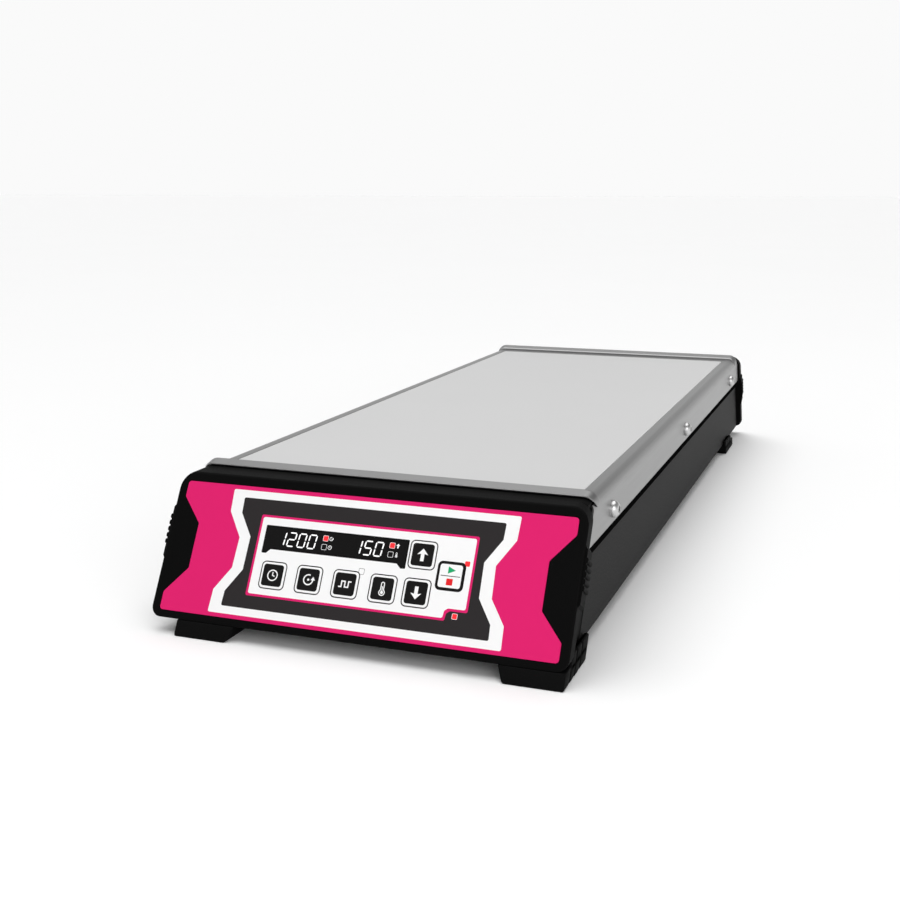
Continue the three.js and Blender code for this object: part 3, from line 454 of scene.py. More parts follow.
def as_piece(shape, name, board, materials, body, slot, *stands_for, smooth=True):
    """Turns a bmesh drawn on a board into a piece that rides on a body."""
    bmesh.ops.transform(shape, matrix=board, verts=shape.verts)
    mesh = bpy.data.meshes.new(name)
    shape.to_mesh(mesh)
    shape.free()
    if smooth:
        mesh.shade_smooth()
        mesh.set_sharp_from_angle(angle=SHARP_TURN)
    for material in materials:
        mesh.materials.append(material)
    piece = bpy.data.objects.new(name, mesh)
    bpy.context.scene.collection.objects.link(piece)
    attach(piece, body)
    if stands_for:
        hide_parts(*stands_for)
    return piece


def thicken(piece, thickness):
    """Gives a sheet its thickness, towards the back of its face."""
    solid = piece.modifiers.new("film", "SOLIDIFY")
    solid.thickness = thickness
    solid.offset = -1


def keep_flat(piece):
    """Weighs each corner's normal by its faces' areas, so that large faces still shade flat."""
    even = piece.modifiers.new("flat_faces", "WEIGHTED_NORMAL")
    even.keep_sharp = True


print("printing functions ready")

# %% [markdown]
# ## The printed film
#
# The film fills the hourglass pocket. Pink is the ground, a white band follows the waist, a dark
# field lies in it, and the white keypad sits on that with a thin pink line round it. The windows
# for the keys and the display are cut out, and what shows of each is a hairline gap. The heights
# are measured up the slope from the film's foot.

# %% Film outlines
FILM_FOOT = 3.6 * MM
FILM_FACE = -0.1 * MM
FILM_THICKNESS = 0.8 * MM
POCKET_GAP = 0.3 * MM


def mirrored(right_side):
    """A closed outline from its right side, listed upwards, in mm above the film's foot."""
    right = [(x * MM, FILM_FOOT + y * MM) for x, y in right_side]
    return right + [(-x, y) for x, y in reversed(right)]


def hourglass(inset):
    """The pocket's outline, drawn in by a gap."""
    gap = inset / MM
    return rounded(mirrored([
        (98 - gap, gap), (98 - gap, 8.9), (87.5 - gap, 21.4), (87.5 - gap, 43.4),
        (98 - gap, 55.9), (98 - gap, 64.1 - gap),
    ]), 1.6 * MM)


def keypad_field(grow):
    """The white keypad, with a notch at its lower right corner for the heat lamp, in mm."""
    left, right, low, high = -53.3 - grow, 53.3 + grow, 13.1 - grow, 49.7 + grow
    notch = [(43.2 + grow, low), (43.6 + grow, 16.4 - grow), (45.2 + grow, 17.6 - grow)]
    corners = [(left, low), *notch, (right, 17.6 - grow), (right, high), (left, high)]
    return rounded([(x * MM, FILM_FOOT + y * MM) for x, y in corners], 0.9 * MM, 3)


white_band = rounded(mirrored([
    (72, 2.2), (71.6, 12.9), (64.3, 24), (63.8, 38.7), (71.5, 50.8), (72, 61.8),
]), 0.8 * MM, 3)
dark_field = rounded(mirrored([
    (65.8, 5.8), (65.5, 12.8), (58.5, 23.6), (58.2, 39.6), (65.3, 50.6), (65.6, 58.2),
]), 0.8 * MM, 3)
print("pocket outline points:", len(hourglass(POCKET_GAP)))

# %% Keys, lamps and display on the film
KEY_SIZE = 12.2 * MM
KEY_ROW = 22.6
key_places = {
    "time_key": (-42.4, KEY_ROW),
    "speed_key": (-23.95, KEY_ROW),
    "pulse_key": (-5.5, KEY_ROW),
    "temperature_key": (12.95, KEY_ROW),
    "down_key": (29.2, KEY_ROW),
    "up_key": (29.2, 39.9),
    "start_stop_key": (43.8, 31.8),
}


def on_film(x, y):
    return x * MM, FILM_FOOT + y * MM


def display_outline(gap):
    """The display's window, wider above than at its two feet, grown by a gap in mm."""
    left, right, low, high = -50.3 - gap, 21.4 + gap, 33.2 - gap, 45.6 + gap
    ledge, tab, slope = 35.2 - gap, 2.4, 2.0
    corners = [(left, low), (left + tab, low), (left + tab + slope, ledge),
               (right - tab - slope, ledge), (right - tab, low), (right, low), (right, high),
               (left, high)]
    return rounded([on_film(x, y) for x, y in corners], 0.5 * MM, 3)


def lamp_square(x, y, edge, fill, size=2.7, rim=0.17):
    """A lamp behind the film: a small rounded square with a thin edge, in mm."""
    px, py = on_film(x, y)
    window = (size - 2 * rim) * MM
    return [(block(px, py, size * MM, size * MM, 0.5 * MM, 3), edge),
            (block(px, py, window, window, 0.4 * MM, 3), fill)]


def key_hole(x, y, grow=0.0):
    """The hole for a key whose middle is at x and y, in mm on the film."""
    size = KEY_SIZE + 2 * (POCKET_GAP + grow)
    return block(*on_film(x, y), size, size, 2.1 * MM + grow)


# The film is cut through its black print, so the hairline round each key is dark.
HAIRLINE = 0.22 * MM
PINK_LINE = 1.1
PANE_GAP, PANE_LINE = 0.3, 0.2
film_layers = [(hourglass(POCKET_GAP), PINK), (white_band, WHITE), (dark_field, DARK),
               (keypad_field(PINK_LINE), PINK), (keypad_field(0), WHITE)]
film_layers += lamp_square(1.3, 29.3, DARK, WHITE, 2.8)
film_layers += lamp_square(50.7, 38.1, LAMP, LAMP, 2.4)
film_layers += lamp_square(48.8, 14.4, WHITE, LAMP, 2.6)
for x, y in key_places.values():
    film_layers += [(key_hole(x, y, HAIRLINE), BLACK), (key_hole(x, y), HOLE)]
film_layers += [(display_outline(PANE_GAP + PANE_LINE), BLACK), (display_outline(PANE_GAP), HOLE)]

shape = bmesh.new()
print_sheet(shape, film_layers, FILM_FACE)
film = as_piece(shape, "printed_film", FACE_BOARD, KEYPAD_INKS, "housing", "fascia_print",
                "fascia_overlay", smooth=False)
thicken(film, FILM_THICKNESS)
print("film faces:", len(film.data.polygons))

# %% [markdown]
# ## The end frames
#
# Each end of the instrument is one ABS moulding: a rim round a raked face, a sunken hourglass
# pocket, a shelf that runs back to the cover, a narrower sleeve behind the rim and a ribbed grip
# at each side. A box with bevels would round every edge alike. Lofting the outline through a few
# rings gives each edge the radius that its mould gives it.

# %% Skins between rings
def skin(shape, rings, closed=False, wrap=True, tone=0):
    """Walls from ring to ring. A closed skin joins the last ring to the first one, and rings
    that don't wrap are open lines."""
    lines = [[shape.verts.new(point) for point in ring] for ring in rings]
    pairs = list(zip(lines, lines[1:])) + ([(lines[-1], lines[0])] if closed else [])
    for upper, lower in pairs:
        for i in range(0 if wrap else 1, len(upper)):
            face = shape.faces.new([upper[i - 1], upper[i], lower[i], lower[i - 1]])
            face.material_index = tone
    return lines


def solid(shape, rings):
    """A body through these rings, closed by its first and its last one."""
    lines = skin(shape, rings)
    shape.faces.new(lines[0])
    shape.faces.new(lines[-1])


def outwards(shape):
    """Turns each face to look out of its body."""
    bmesh.ops.recalc_face_normals(shape, faces=shape.faces)


def weld(shape):
    """Joins the points that meet, so that sheets and skins become one surface."""
    bmesh.ops.remove_doubles(shape, verts=shape.verts, dist=0.001 * MM)
    outwards(shape)


def quarter(radius, steps=4):
    """How far a rounded edge is in and back, from its face to its side."""
    turns = [math.radians(90) * step / steps for step in range(steps + 1)]
    return [(radius * (1 - math.sin(t)), radius * (1 - math.cos(t))) for t in turns]


print("an edge of 1.6 mm:", [(round(i, 2), round(d, 2)) for i, d in quarter(1.6)])

# %% Measures of an end frame
FRAME_HALF = 102.2 * MM
FRAME_HEIGHT = 63.1 * MM
RIM_DEPTH = 9 * MM
RIM_TOP_CORNER = 8 * MM
RIM_LOW_CORNER = 5 * MM
LEAST_CORNER = 0.3 * MM
RIM_EDGE = 0.9 * MM
RIM_BACK_EDGE = 0.6 * MM
POCKET_DEPTH = 1.2 * MM
POCKET_EDGE = 0.3 * MM
FACE_WALL = 4 * MM
SLEEVE_INSET = 3.5 * MM
SLEEVE_WALL = 2.4 * MM
SLEEVE_TOP = 59.6 * MM
SLEEVE_EDGE = 0.4 * MM
SHELF_HALF = 98.8 * MM
SHELF_END = 54.2 * MM
SHELF_EDGE = 0.5 * MM
BOARD_TILT = Matrix.Rotation(math.pi / 2 - RAKE, 4, "X")


def rim_outline(inset):
    """The rim seen along the instrument, drawn in by an inset: across and up."""
    half, low, high = FRAME_HALF - inset, inset, FRAME_HEIGHT - inset
    top, bottom = (max(corner - inset, LEAST_CORNER)
                   for corner in (RIM_TOP_CORNER, RIM_LOW_CORNER))
    return rounded([(-half, low), (half, low), (half, high), (-half, high)],
                   [bottom, bottom, top, top], 8)


def sleeve_outline(inset):
    """The sleeve behind the rim, seen the same way."""
    half, low, high = FRAME_HALF - SLEEVE_INSET - inset, inset, SLEEVE_TOP - inset
    return rounded([(-half, low), (half, low), (half, high), (-half, high)],
                   RIM_LOW_CORNER - inset, 6)


def shelf_outline(inset):
    """The shelf's end: its upper corners are what it keeps of the rim's rounded ones."""
    radius = RIM_TOP_CORNER - inset
    middle_x, middle_z = FRAME_HALF - RIM_TOP_CORNER, FRAME_HEIGHT - RIM_TOP_CORNER
    half = SHELF_HALF - inset
    first = math.acos((half - middle_x) / radius)
    turns = [first + (math.pi / 2 - first) * step / 6 for step in range(7)]
    right = [(half, SLEEVE_TOP + inset)]
    right += [(middle_x + radius * math.cos(t), middle_z + radius * math.sin(t)) for t in turns]
    return right + [(-x, z) for x, z in reversed(right)]


def raked(outline, depth):
    """An outline pushed back from the raked face by a depth."""
    return [(x, z * math.tan(RAKE) + depth, z) for x, z in outline]


print("rim outline points:", len(rim_outline(0)))

# %% The grip's comb
GRIP_RIBS = 5
GRIP_PITCH = 3.1 * MM
GRIP_START = 36.9 * MM
GRIP_LOW = 28.4 * MM
GRIP_HIGH = 55.6 * MM
GRIP_CHAMFER = 1.5 * MM
GRIP_SETBACK = 1 * MM
GRIP_PAD = 1.0 * MM
GRIP_TIP = 1.8 * MM
RIB_HALF = 1.2 * MM
RIB_STEPS = 8
RIB_FULLNESS = 0.7
ROOT_SUNK = 0.2 * MM


def grip_comb(side):
    """The pad and its ribs, seen from the front of the panel."""
    inner, pad = FRAME_HALF - SLEEVE_INSET - ROOT_SUNK, FRAME_HALF + GRIP_PAD
    points = [(inner, GRIP_LOW), (FRAME_HALF, GRIP_LOW), (pad, GRIP_LOW + GRIP_CHAMFER)]
    for index in range(GRIP_RIBS):
        middle = GRIP_START + index * GRIP_PITCH
        for step in range(RIB_STEPS + 1):
            turn = math.pi * step / RIB_STEPS
            points.append((pad + (GRIP_TIP - GRIP_PAD) * math.sin(turn) ** RIB_FULLNESS,
                           middle - RIB_HALF * math.cos(turn)))
    points += [(pad, GRIP_HIGH - GRIP_CHAMFER), (FRAME_HALF, GRIP_HIGH), (inner, GRIP_HIGH)]
    return [(side * x, y) for x, y in points]


print("comb points:", len(grip_comb(1)))

# %% Build both end frames
# The shelf starts a hair behind the rim's rounded edge, so that no two faces share a plane.
SHELF_START = FRAME_HEIGHT * math.tan(RAKE) + RIM_DEPTH - RIM_BACK_EDGE + 0.02 * MM


def end_frame(name, node, board, openings, sleeve_back, grip_length):
    shape = bmesh.new()
    # The raked face, and the pocket's rounded edge and wall.
    face_edge = [(x, z / math.cos(RAKE)) for x, z in rim_outline(RIM_EDGE)]
    print_sheet(shape, [(face_edge, 0), (hourglass(-POCKET_EDGE), HOLE)], 0)
    pocket = ((-POCKET_EDGE, 0), (-POCKET_EDGE / 3, 0.3 * POCKET_EDGE), (0, POCKET_EDGE),
              (0, POCKET_DEPTH))
    skin(shape, [[(x, y, -drop) for x, y in hourglass(inset)] for inset, drop in pocket])

    # The pocket's floor and the back of the face, with openings right through.
    holes = [(loop, HOLE) for loop in openings]
    wall_back = FACE_WALL * math.cos(RAKE)
    back = [(x, z / math.cos(RAKE) + FACE_WALL * math.sin(RAKE))
            for x, z in rim_outline(SLEEVE_INSET + SLEEVE_WALL)]
    print_sheet(shape, [(hourglass(0), 0), *holes], -POCKET_DEPTH)
    print_sheet(shape, [(back, 0), *holes], -wall_back)
    for loop in openings:
        skin(shape, [[(x, y, -drop) for x, y in loop] for drop in (POCKET_DEPTH, wall_back)])

    # The grips, which are drawn on the board as the pocket is.
    for side in (-1, 1):
        solid(shape, [[(x, y, -drop) for x, y in grip_comb(side)]
                      for drop in (GRIP_SETBACK, GRIP_SETBACK + grip_length)])
    bmesh.ops.transform(shape, matrix=BOARD_TILT, verts=shape.verts)

    # The rim, the sleeve and the shelf, which are drawn along the instrument.
    inner_rim = rim_outline(SLEEVE_INSET + SLEEVE_WALL)
    skin(shape, [raked(rim_outline(inset), depth) for inset, depth in quarter(RIM_EDGE)]
         + [raked(rim_outline(inset), RIM_DEPTH - depth)
            for inset, depth in reversed(quarter(RIM_BACK_EDGE, 2))]
         + [raked(inner_rim, RIM_DEPTH), raked(inner_rim, FACE_WALL)])
    skin(shape, [raked(sleeve_outline(inset), depth) for inset, depth in (
        (0, RIM_DEPTH - RIM_BACK_EDGE), (0, sleeve_back - SLEEVE_EDGE),
        (SLEEVE_EDGE, sleeve_back), (SLEEVE_WALL, sleeve_back),
        (SLEEVE_WALL, RIM_DEPTH - RIM_BACK_EDGE))], closed=True)
    solid(shape, [[(x, y, z) for x, z in shelf_outline(inset)] for inset, y in (
        (0, SHELF_START), (0, SHELF_END - SHELF_EDGE),
        (0.3 * SHELF_EDGE, SHELF_END - 0.3 * SHELF_EDGE), (SHELF_EDGE, SHELF_END))])
    weld(shape)
    piece = as_piece(shape, name, board @ BOARD_TILT.inverted(), [moulded_abs], "housing",
                     "bezel_plastic", node)
    keep_flat(piece)
    print(name, "faces:", len(piece.data.polygons))


key_holes = [key_hole(x, y) for x, y in key_places.values()]
plate_hole = block(2 * MM, 35.1 * MM, 160 * MM, 40 * MM, 1.6 * MM)
end_frame("keypad_end_frame", "front_bezel", FACE_BOARD, key_holes + [display_outline(PANE_GAP)],
          sleeve_back=30 * MM, grip_length=8.5 * MM)
end_frame("connection_end_frame", "rear_bezel", REAR_BOARD, [plate_hole],
          sleeve_back=14.6 * MM, grip_length=6.8 * MM)

# %% [markdown]
# ## The display
#
# Seven-segment digits are seven bars with pointed ends, leaning a little to the right. Which bars
# are lit makes the digit. They show plain numbers here: a speed on the left and a temperature on
# the right. Each pair of small lamps says which value is meant, with a small mark beside each.

# %% Digits
BARS = {"top": ((0, 2), (1, 2)), "upper_left": ((0, 2), (0, 1)), "upper_right": ((1, 2), (1, 1)),
        "middle": ((0, 1), (1, 1)), "lower_left": ((0, 1), (0, 0)),
        "lower_right": ((1, 1), (1, 0)), "bottom": ((0, 0), (1, 0))}
LIT_BARS = {
    "0": ("top", "upper_left", "upper_right", "lower_left", "lower_right", "bottom"),
    "1": ("upper_right", "lower_right"),
    "2": ("top", "upper_right", "middle", "lower_left", "bottom"),
    "5": ("top", "upper_left", "middle", "lower_right", "bottom"),
}
DIGIT_WIDTH = 3.5
DIGIT_HEIGHT = 6.4
DIGIT_PITCH = 5.25
BAR_WIDTH = 0.62
BAR_GAP = 0.16
DIGIT_LEAN = math.radians(7)


def bar(start, end):
    """A bar with pointed ends between two corners of the digit, in mm."""
    a, b = Vector(start), Vector(end)
    along = (b - a).normalized()
    side = Vector((-along.y, along.x)) * (BAR_WIDTH / 2)
    a, b = a + along * BAR_GAP, b - along * BAR_GAP
    a_in, b_in = a + along * (BAR_WIDTH / 2), b - along * (BAR_WIDTH / 2)
    return [tuple(p) for p in (a, a_in + side, b_in + side, b, b_in - side, a_in - side)]


def number(text, left, foot):
    """The lit bars of a number, whose first cell starts at left, in mm above the film's foot."""
    loops = []
    for index, character in enumerate(text):
        for name in LIT_BARS[character]:
            (ax, ay), (bx, by) = BARS[name]
            half = DIGIT_HEIGHT / 2
            loop = bar((ax * DIGIT_WIDTH, ay * half), (bx * DIGIT_WIDTH, by * half))
            leaned = [(left + index * DIGIT_PITCH + x + y * math.tan(DIGIT_LEAN), foot + y)
                      for x, y in loop]
            loops.append(([on_film(x, y) for x, y in leaned], LIT))
    return loops


print("bars lit for 1200:", len(number("1200", 0, 0)))

# %% [markdown]
# ## Marks on the keys
#
# A key can say what it does without a word. A clock sets the time, a turning arrow the speed, a
# square wave the pulse and a thermometer the temperature. Each mark is drawn once about its own
# middle in millimetres, so that it serves for a key and, scaled down, for the display.

# %% Marks
def clock_mark(tone, ground):
    return [(circle(0, 0, 2.7), tone), (circle(0, 0, 2.15), ground),
            (stroke([(0, 1.55), (0, 0), (1.15, -0.45)], 0.5), tone)]


def turning_mark(tone):
    arc = [(2.3 * math.cos(math.radians(a)), 2.3 * math.sin(math.radians(a)))
           for a in range(70, 361, 10)]
    head = [(1.2, -0.1), (3.4, -0.1), (2.3, 1.6)]
    return [(stroke(arc, 0.6), tone), (head, tone), (circle(0, 0, 0.55), tone)]


def wave_mark(tone):
    line = [(-3.1, -1.3), (-1.7, -1.3), (-1.7, 1.3), (0, 1.3), (0, -1.3), (1.7, -1.3),
            (1.7, 1.3), (3.1, 1.3)]
    return [(stroke(line, 0.6), tone)]


def thermometer_mark(tone, ground):
    return [(block(0, 0.9, 1.9, 4.6, 0.94), tone), (circle(0, -1.7, 1.55), tone),
            (block(0, 0.9, 1.0, 3.7, 0.49), ground), (circle(0, -1.7, 1.1), ground),
            (block(0, -0.2, 0.44, 2.8, 0.2, 3), tone), (circle(0, -1.7, 0.72), tone)]


def arrow_mark(tone, way):
    """An arrow that points up with way 1 and down with way -1."""
    points = [(0, 2.9), (2.6, 0.1), (0.85, 0.45), (0.85, -2.9), (-0.85, -2.9), (-0.85, 0.45),
              (-2.6, 0.1)]
    return [([(x * way, y * way) for x, y in points], tone)]


def in_metres(marks, x, y, scale=1.0):
    """A mark moved to its place on the film."""
    return [([on_film(x + px * scale, y + py * scale) for px, py in loop], tone)
            for loop, tone in marks]


print("marks ready")

# %% The display's pane
SMALL = 0.36
NUMBERS_FOOT = 37.1
pane_layers = [(display_outline(0), PANE), *number("1200", -43.9, NUMBERS_FOOT),
               *number("150", -5.1, NUMBERS_FOOT)]
for x, y, fill in ((-19.4, 42.6, LAMP), (-19.5, 38.5, PANE), (13.9, 42.7, LAMP),
                   (13.7, 38.5, PANE)):
    pane_layers += lamp_square(x, y, WHITE, fill)
for mark, x, y in ((turning_mark(LIT), -16.6, 42.6), (clock_mark(LIT, PANE), -16.6, 38.5),
                   (arrow_mark(LIT, 1), 16.7, 42.7), (thermometer_mark(LIT, PANE), 16.6, 38.6)):
    pane_layers += in_metres(mark, x, y, SMALL)
shape = bmesh.new()
print_sheet(shape, pane_layers, FILM_FACE)
pane = as_piece(shape, "display_pane", FACE_BOARD, KEYPAD_INKS, "housing", "display_pane",
                "display_window", smooth=False)
thicken(pane, FILM_THICKNESS)
print("pane faces:", len(pane.data.polygons))

# %% [markdown]
# ## The keys
#
# Each key is a black moulded cap with a printed top: a white rim, a black square and a white mark.
# The cap's edge is rounded by a few rings of points that step in and up along a quarter circle, and
# the printed sheet closes it on top. The start key is the other way round, black at the rim and
# white in the middle.

# %% Keys
KEY_FACE = 0.2 * MM
KEY_FOOT = -2.4 * MM
KEY_ROUND = 0.35 * MM
KEY_CORNER = 1.8 * MM


def printed_cap(node, rim, layers):
    """A square cap: its rounded top edge has the rim's ink, and its top is printed."""
    x, y = on_film(*key_places[node])
    edge = []
    for inset, drop in quarter(KEY_ROUND):
        size = KEY_SIZE - 2 * inset
        edge.append([(px, py, KEY_FACE - drop)
                     for px, py in block(x, y, size, size, KEY_CORNER - inset)])
    foot = [(px, py, KEY_FOOT) for px, py, _ in edge[-1]]
    shape = bmesh.new()
    print_sheet(shape, [([(px, py) for px, py, _ in edge[0]], rim), *layers], KEY_FACE)
    skin(shape, edge, tone=rim)
    lines = skin(shape, [edge[-1], foot], tone=BLACK)
    shape.faces.new(lines[-1]).material_index = BLACK
    weld(shape)
    as_piece(shape, node + "_cap", FACE_BOARD, KEYPAD_INKS, node, "key_plastic", node)


key_marks = {
    "time_key": clock_mark(WHITE, BLACK),
    "speed_key": turning_mark(WHITE),
    "pulse_key": wave_mark(WHITE),
    "temperature_key": thermometer_mark(WHITE, BLACK),
    "down_key": arrow_mark(WHITE, -1),
    "up_key": arrow_mark(WHITE, 1),
}
for node, marks in key_marks.items():
    x, y = key_places[node]
    printed_cap(node, WHITE, [(block(*on_film(x, y), 10.3 * MM, 10.3 * MM, 1.3 * MM), BLACK),
                              *in_metres(marks, x, y)])

x, y = key_places["start_stop_key"]
start_marks = [(stroke([(-4.6, 0), (4.6, 0)], 0.35), DARK),
               ([(-1.35, 1.0), (2.2, 2.65), (-1.35, 4.3)], GREEN),
               (block(0, -2.65, 3.0, 3.0, 0.25, 3), RED)]
printed_cap("start_stop_key", BLACK,
            [(block(*on_film(x, y), 10.5 * MM, 10.5 * MM, 1.1 * MM), WHITE),
             *in_metres(start_marks, x, y)])

# %% [markdown]
# ## Soft edges
#
# No moulded, folded or stamped edge is sharp, and the thin highlight along it is what tells the
# eye its size. A CAD node keeps its exact mesh, so a dressed copy stands for it: the copy's flat
# triangles are melted into whole faces, a Bevel rounds the edges that turn by more than 30
# degrees, and weighted normals keep the large faces flat.

# %% Soft-edged copies of CAD nodes
def body_of(node):
    return nodes[node]["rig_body"]


def soften(piece, radius, steps=2):
    """Rounds the edges that turn sharply."""
    soft = piece.modifiers.new("soft_edges", "BEVEL")
    soft.width = radius
    soft.segments = steps
    soft.limit_method = "ANGLE"
    soft.angle_limit = SHARP_TURN
    soft.use_clamp_overlap = False


def softened(node, name, radius, material, slot, steps=2):
    """A copy of a CAD node that stands for it, with whole faces and soft edges."""
    shape = bmesh.new()
    shape.from_mesh(nodes[node].data)
    bmesh.ops.remove_doubles(shape, verts=shape.verts, dist=0.01 * MM)
    bmesh.ops.dissolve_limit(shape, angle_limit=math.radians(1), verts=shape.verts,
                             edges=shape.edges)
    for face in shape.faces:
        face.smooth = True
        face.material_index = 0
    piece = as_piece(shape, name, AS_DRAWN, [material], body_of(node), slot, node)
    soften(piece, radius, steps)
    keep_flat(piece)


AS_DRAWN = Matrix.Identity(4)
softened("hot_plate", "heated_plate", 0.4 * MM, anodised_plate, "plate_surface", 3)
softened("base_pan", "pan_sheet", 0.3 * MM, powder_coat, "pan_paint")

# %% [markdown]
# ## The folded cover
#
# The cover is one stainless sheet with a window for the plate, and both its sides are folded down
# over a wide shoulder. A folded sheet is easiest to draw as its outer skin: Solidify then gives it
# the thickness of the sheet, and a Bevel breaks its cut edges. At each end the sides run on past
# the top, up to the moulded rim, and their ends follow its slope.

# %% The cover's skin
SHEET = 1.2 * MM
SHEET_EDGE = 0.25 * MM
SHOULDER = 5.6 * MM
SHOULDER_STEPS = 12
SHELF_CLEARANCE = 0.3 * MM
WINDOW_GAP = 0.3 * MM
WINDOW_CORNER = 2.3 * MM
LIP_REACH = 12.2 * MM
EAR_TO_FRONT_FACE, EAR_TO_REAR_FACE = 16 * MM, 9.3 * MM
cover_low, cover_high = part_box("top_cover")
plate_low, plate_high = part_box("hot_plate")
lip_front, lip_rear = plate_low.y - LIP_REACH, plate_high.y + LIP_REACH
bend_x, bend_z = cover_high.x - SHOULDER, plate_high.z - SHOULDER


def cover_side(way):
    """Half of the section, from the top to the foot of the flange."""
    turns = [math.radians(90) * step / SHOULDER_STEPS for step in range(SHOULDER_STEPS + 1)]
    arc = [(bend_x + SHOULDER * math.sin(t), bend_z + SHOULDER * math.cos(t)) for t in turns]
    return [(way * x, z) for x, z in [*arc, (cover_high.x, cover_low.z)]]


def rim_slope(z):
    """How far the raked face has moved back at a height."""
    return (z - front_low.z) * math.tan(RAKE)


shape = bmesh.new()
top = [(-bend_x, lip_front), (bend_x, lip_front), (bend_x, lip_rear), (-bend_x, lip_rear)]
window = block(0, (plate_low.y + plate_high.y) / 2, 2 * (plate_high.x + WINDOW_GAP),
               plate_high.y - plate_low.y + 2 * WINDOW_GAP, WINDOW_CORNER)
print_sheet(shape, [(top, 0), (window, HOLE)], plate_high.z)
for way in (-1, 1):
    section = cover_side(way)
    skin(shape, [[(x, y, z) for y in (lip_front, lip_rear)] for x, z in section], wrap=False)
    ears = [(x, z) for x, z in section if abs(x) > SHELF_HALF + SHELF_CLEARANCE]
    skin(shape, [[(x, front_low.y + rim_slope(z) + EAR_TO_FRONT_FACE, z), (x, lip_front, z)]
                 for x, z in ears], wrap=False)
    skin(shape, [[(x, lip_rear, z), (x, rear_high.y - rim_slope(z) - EAR_TO_REAR_FACE, z)]
                 for x, z in ears], wrap=False)
weld(shape)
if max(shape.faces, key=lambda face: face.calc_center_median().z).normal.z < 0:
    bmesh.ops.reverse_faces(shape, faces=shape.faces)
cover = as_piece(shape, "cover_sheet", AS_DRAWN, [brushed_steel], body_of("top_cover"),
                 "cover_steel", "top_cover")
thicken(cover, SHEET)
soften(cover, SHEET_EDGE)
keep_flat(cover)
print("cover:", [round(v / MM, 1) for v in cover.dimensions])

# %% [markdown]
# ## The turned lips
#
# At both ends the cover turns up, so that a spill stays on top, and then leans out over the shelf
# of the moulding. The front lip droops like the peak of a cap, and a dark line shows under its free
# edge. The rear one rises towards its edge. Both follow the fold of the cover's shoulders and run
# out in it, so a lip is one section that is carried along the cover's outline.

# %% Lips
# Each section is a list of places in mm: back from the cover's edge, and up from its top.
DROOPING_LIP = [(0.9, 0.0), (0.9, 1.9), (-5.0, 0.95), (-5.3, 1.2), (-5.35, 1.55), (-5.1, 1.85),
                (0.4, 3.0), (1.2, 3.15), (1.9, 2.9), (2.2, 2.3), (2.2, 0.0)]
RISING_LIP = [(0.9, 0.0), (0.9, 0.6), (-5.0, 1.95), (-5.3, 2.2), (-5.35, 2.7), (-5.2, 3.05),
              (-4.9, 3.15), (1.1, 1.75), (1.8, 1.5), (2.2, 1.1), (2.2, 0.0)]
LIP_ROOT = 0.9
LIP_TURN = 74
LIP_STEPS = 14
LIP_FADE = 0.75
LEAST_REACH, LEAST_RISE = 0.25, 0.15


def lip_ring(section, way, turn, edge, inwards):
    """The section at one place: how far round the shoulder it stands, and the cover's edge."""
    share = math.cos(math.radians(90) * turn / LIP_TURN) ** LIP_FADE
    reach_share = LEAST_REACH + (1 - LEAST_REACH) * share
    rise_share = LEAST_RISE + (1 - LEAST_RISE) * share
    angle = math.radians(turn)
    ring = []
    for back, rise in section:
        if back < LIP_ROOT:
            back = LIP_ROOT + (back - LIP_ROOT) * reach_share
        out = SHOULDER + rise * MM * rise_share
        ring.append((way * (bend_x + out * math.sin(angle)), edge + inwards * back * MM,
                     bend_z + out * math.cos(angle)))
    return ring


for end, section, edge, inwards in (("front", DROOPING_LIP, lip_front, 1),
                                    ("rear", RISING_LIP, lip_rear, -1)):
    turns = [LIP_TURN * step / LIP_STEPS for step in range(LIP_STEPS + 1)]
    shape = bmesh.new()
    solid(shape, [lip_ring(section, -1, turn, edge, inwards) for turn in reversed(turns)]
          + [lip_ring(section, 1, turn, edge, inwards) for turn in turns])
    outwards(shape)
    keep_flat(as_piece(shape, f"cover_lip_{end}", AS_DRAWN, [brushed_steel],
                       body_of("top_cover"), "cover_steel", "top_cover"))
print("lip height:", max(rise for _, rise in DROOPING_LIP), "mm")

# %% [markdown]
# ## Socket screws
#
# Three polished dome-head screws on each side hold the cover, and a key with six sides turns them.
# A turned head is a stack of rings: circles that shrink up the dome, then the outline of the
# socket, once at its mouth and once at its floor.

# %% Screws
DOME_RADIUS, DOME_HEIGHT, DOME_DRIVE = 4.2 * MM, 3.4 * MM, 3.4 * MM
RING_STEPS = 36
HEAD_STEPS = 8
HEAD_EDGE = 0.15
SOCKET_FLOOR = 0.4
SOCKET_MARGIN = 1.12


def hexagon(width):
    """The points of a circle, moved on to the sides of a socket of this width."""
    points = []
    for x, y in circle(0, 0, width / 2, RING_STEPS):
        aside = math.atan2(y, x) % (math.pi / 3) - math.pi / 6
        points.append((x / math.cos(aside), y / math.cos(aside)))
    return points


def socket_head(name, radius, height, drive, board, *body_slot_node):
    """A screw's head on a board, from its seat up the dome and down into its socket."""
    edge = HEAD_EDGE * height
    last = math.acos(SOCKET_MARGIN * drive / math.sqrt(3) / radius)
    rings = [(circle(0, 0, radius, RING_STEPS), out) for out in (0.0, edge)]
    for step in range(1, HEAD_STEPS + 1):
        turn = last * step / HEAD_STEPS
        rings.append((circle(0, 0, radius * math.cos(turn), RING_STEPS),
                      edge + (height - edge) * math.sin(turn) / math.sin(last)))
    rings += [(hexagon(drive), height), (hexagon(drive), SOCKET_FLOOR * height)]
    shape = bmesh.new()
    solid(shape, [[(x, y, out) for x, y in ring] for ring, out in rings])
    outwards(shape)
    as_piece(shape, name, board, [polished_steel], *body_slot_node)


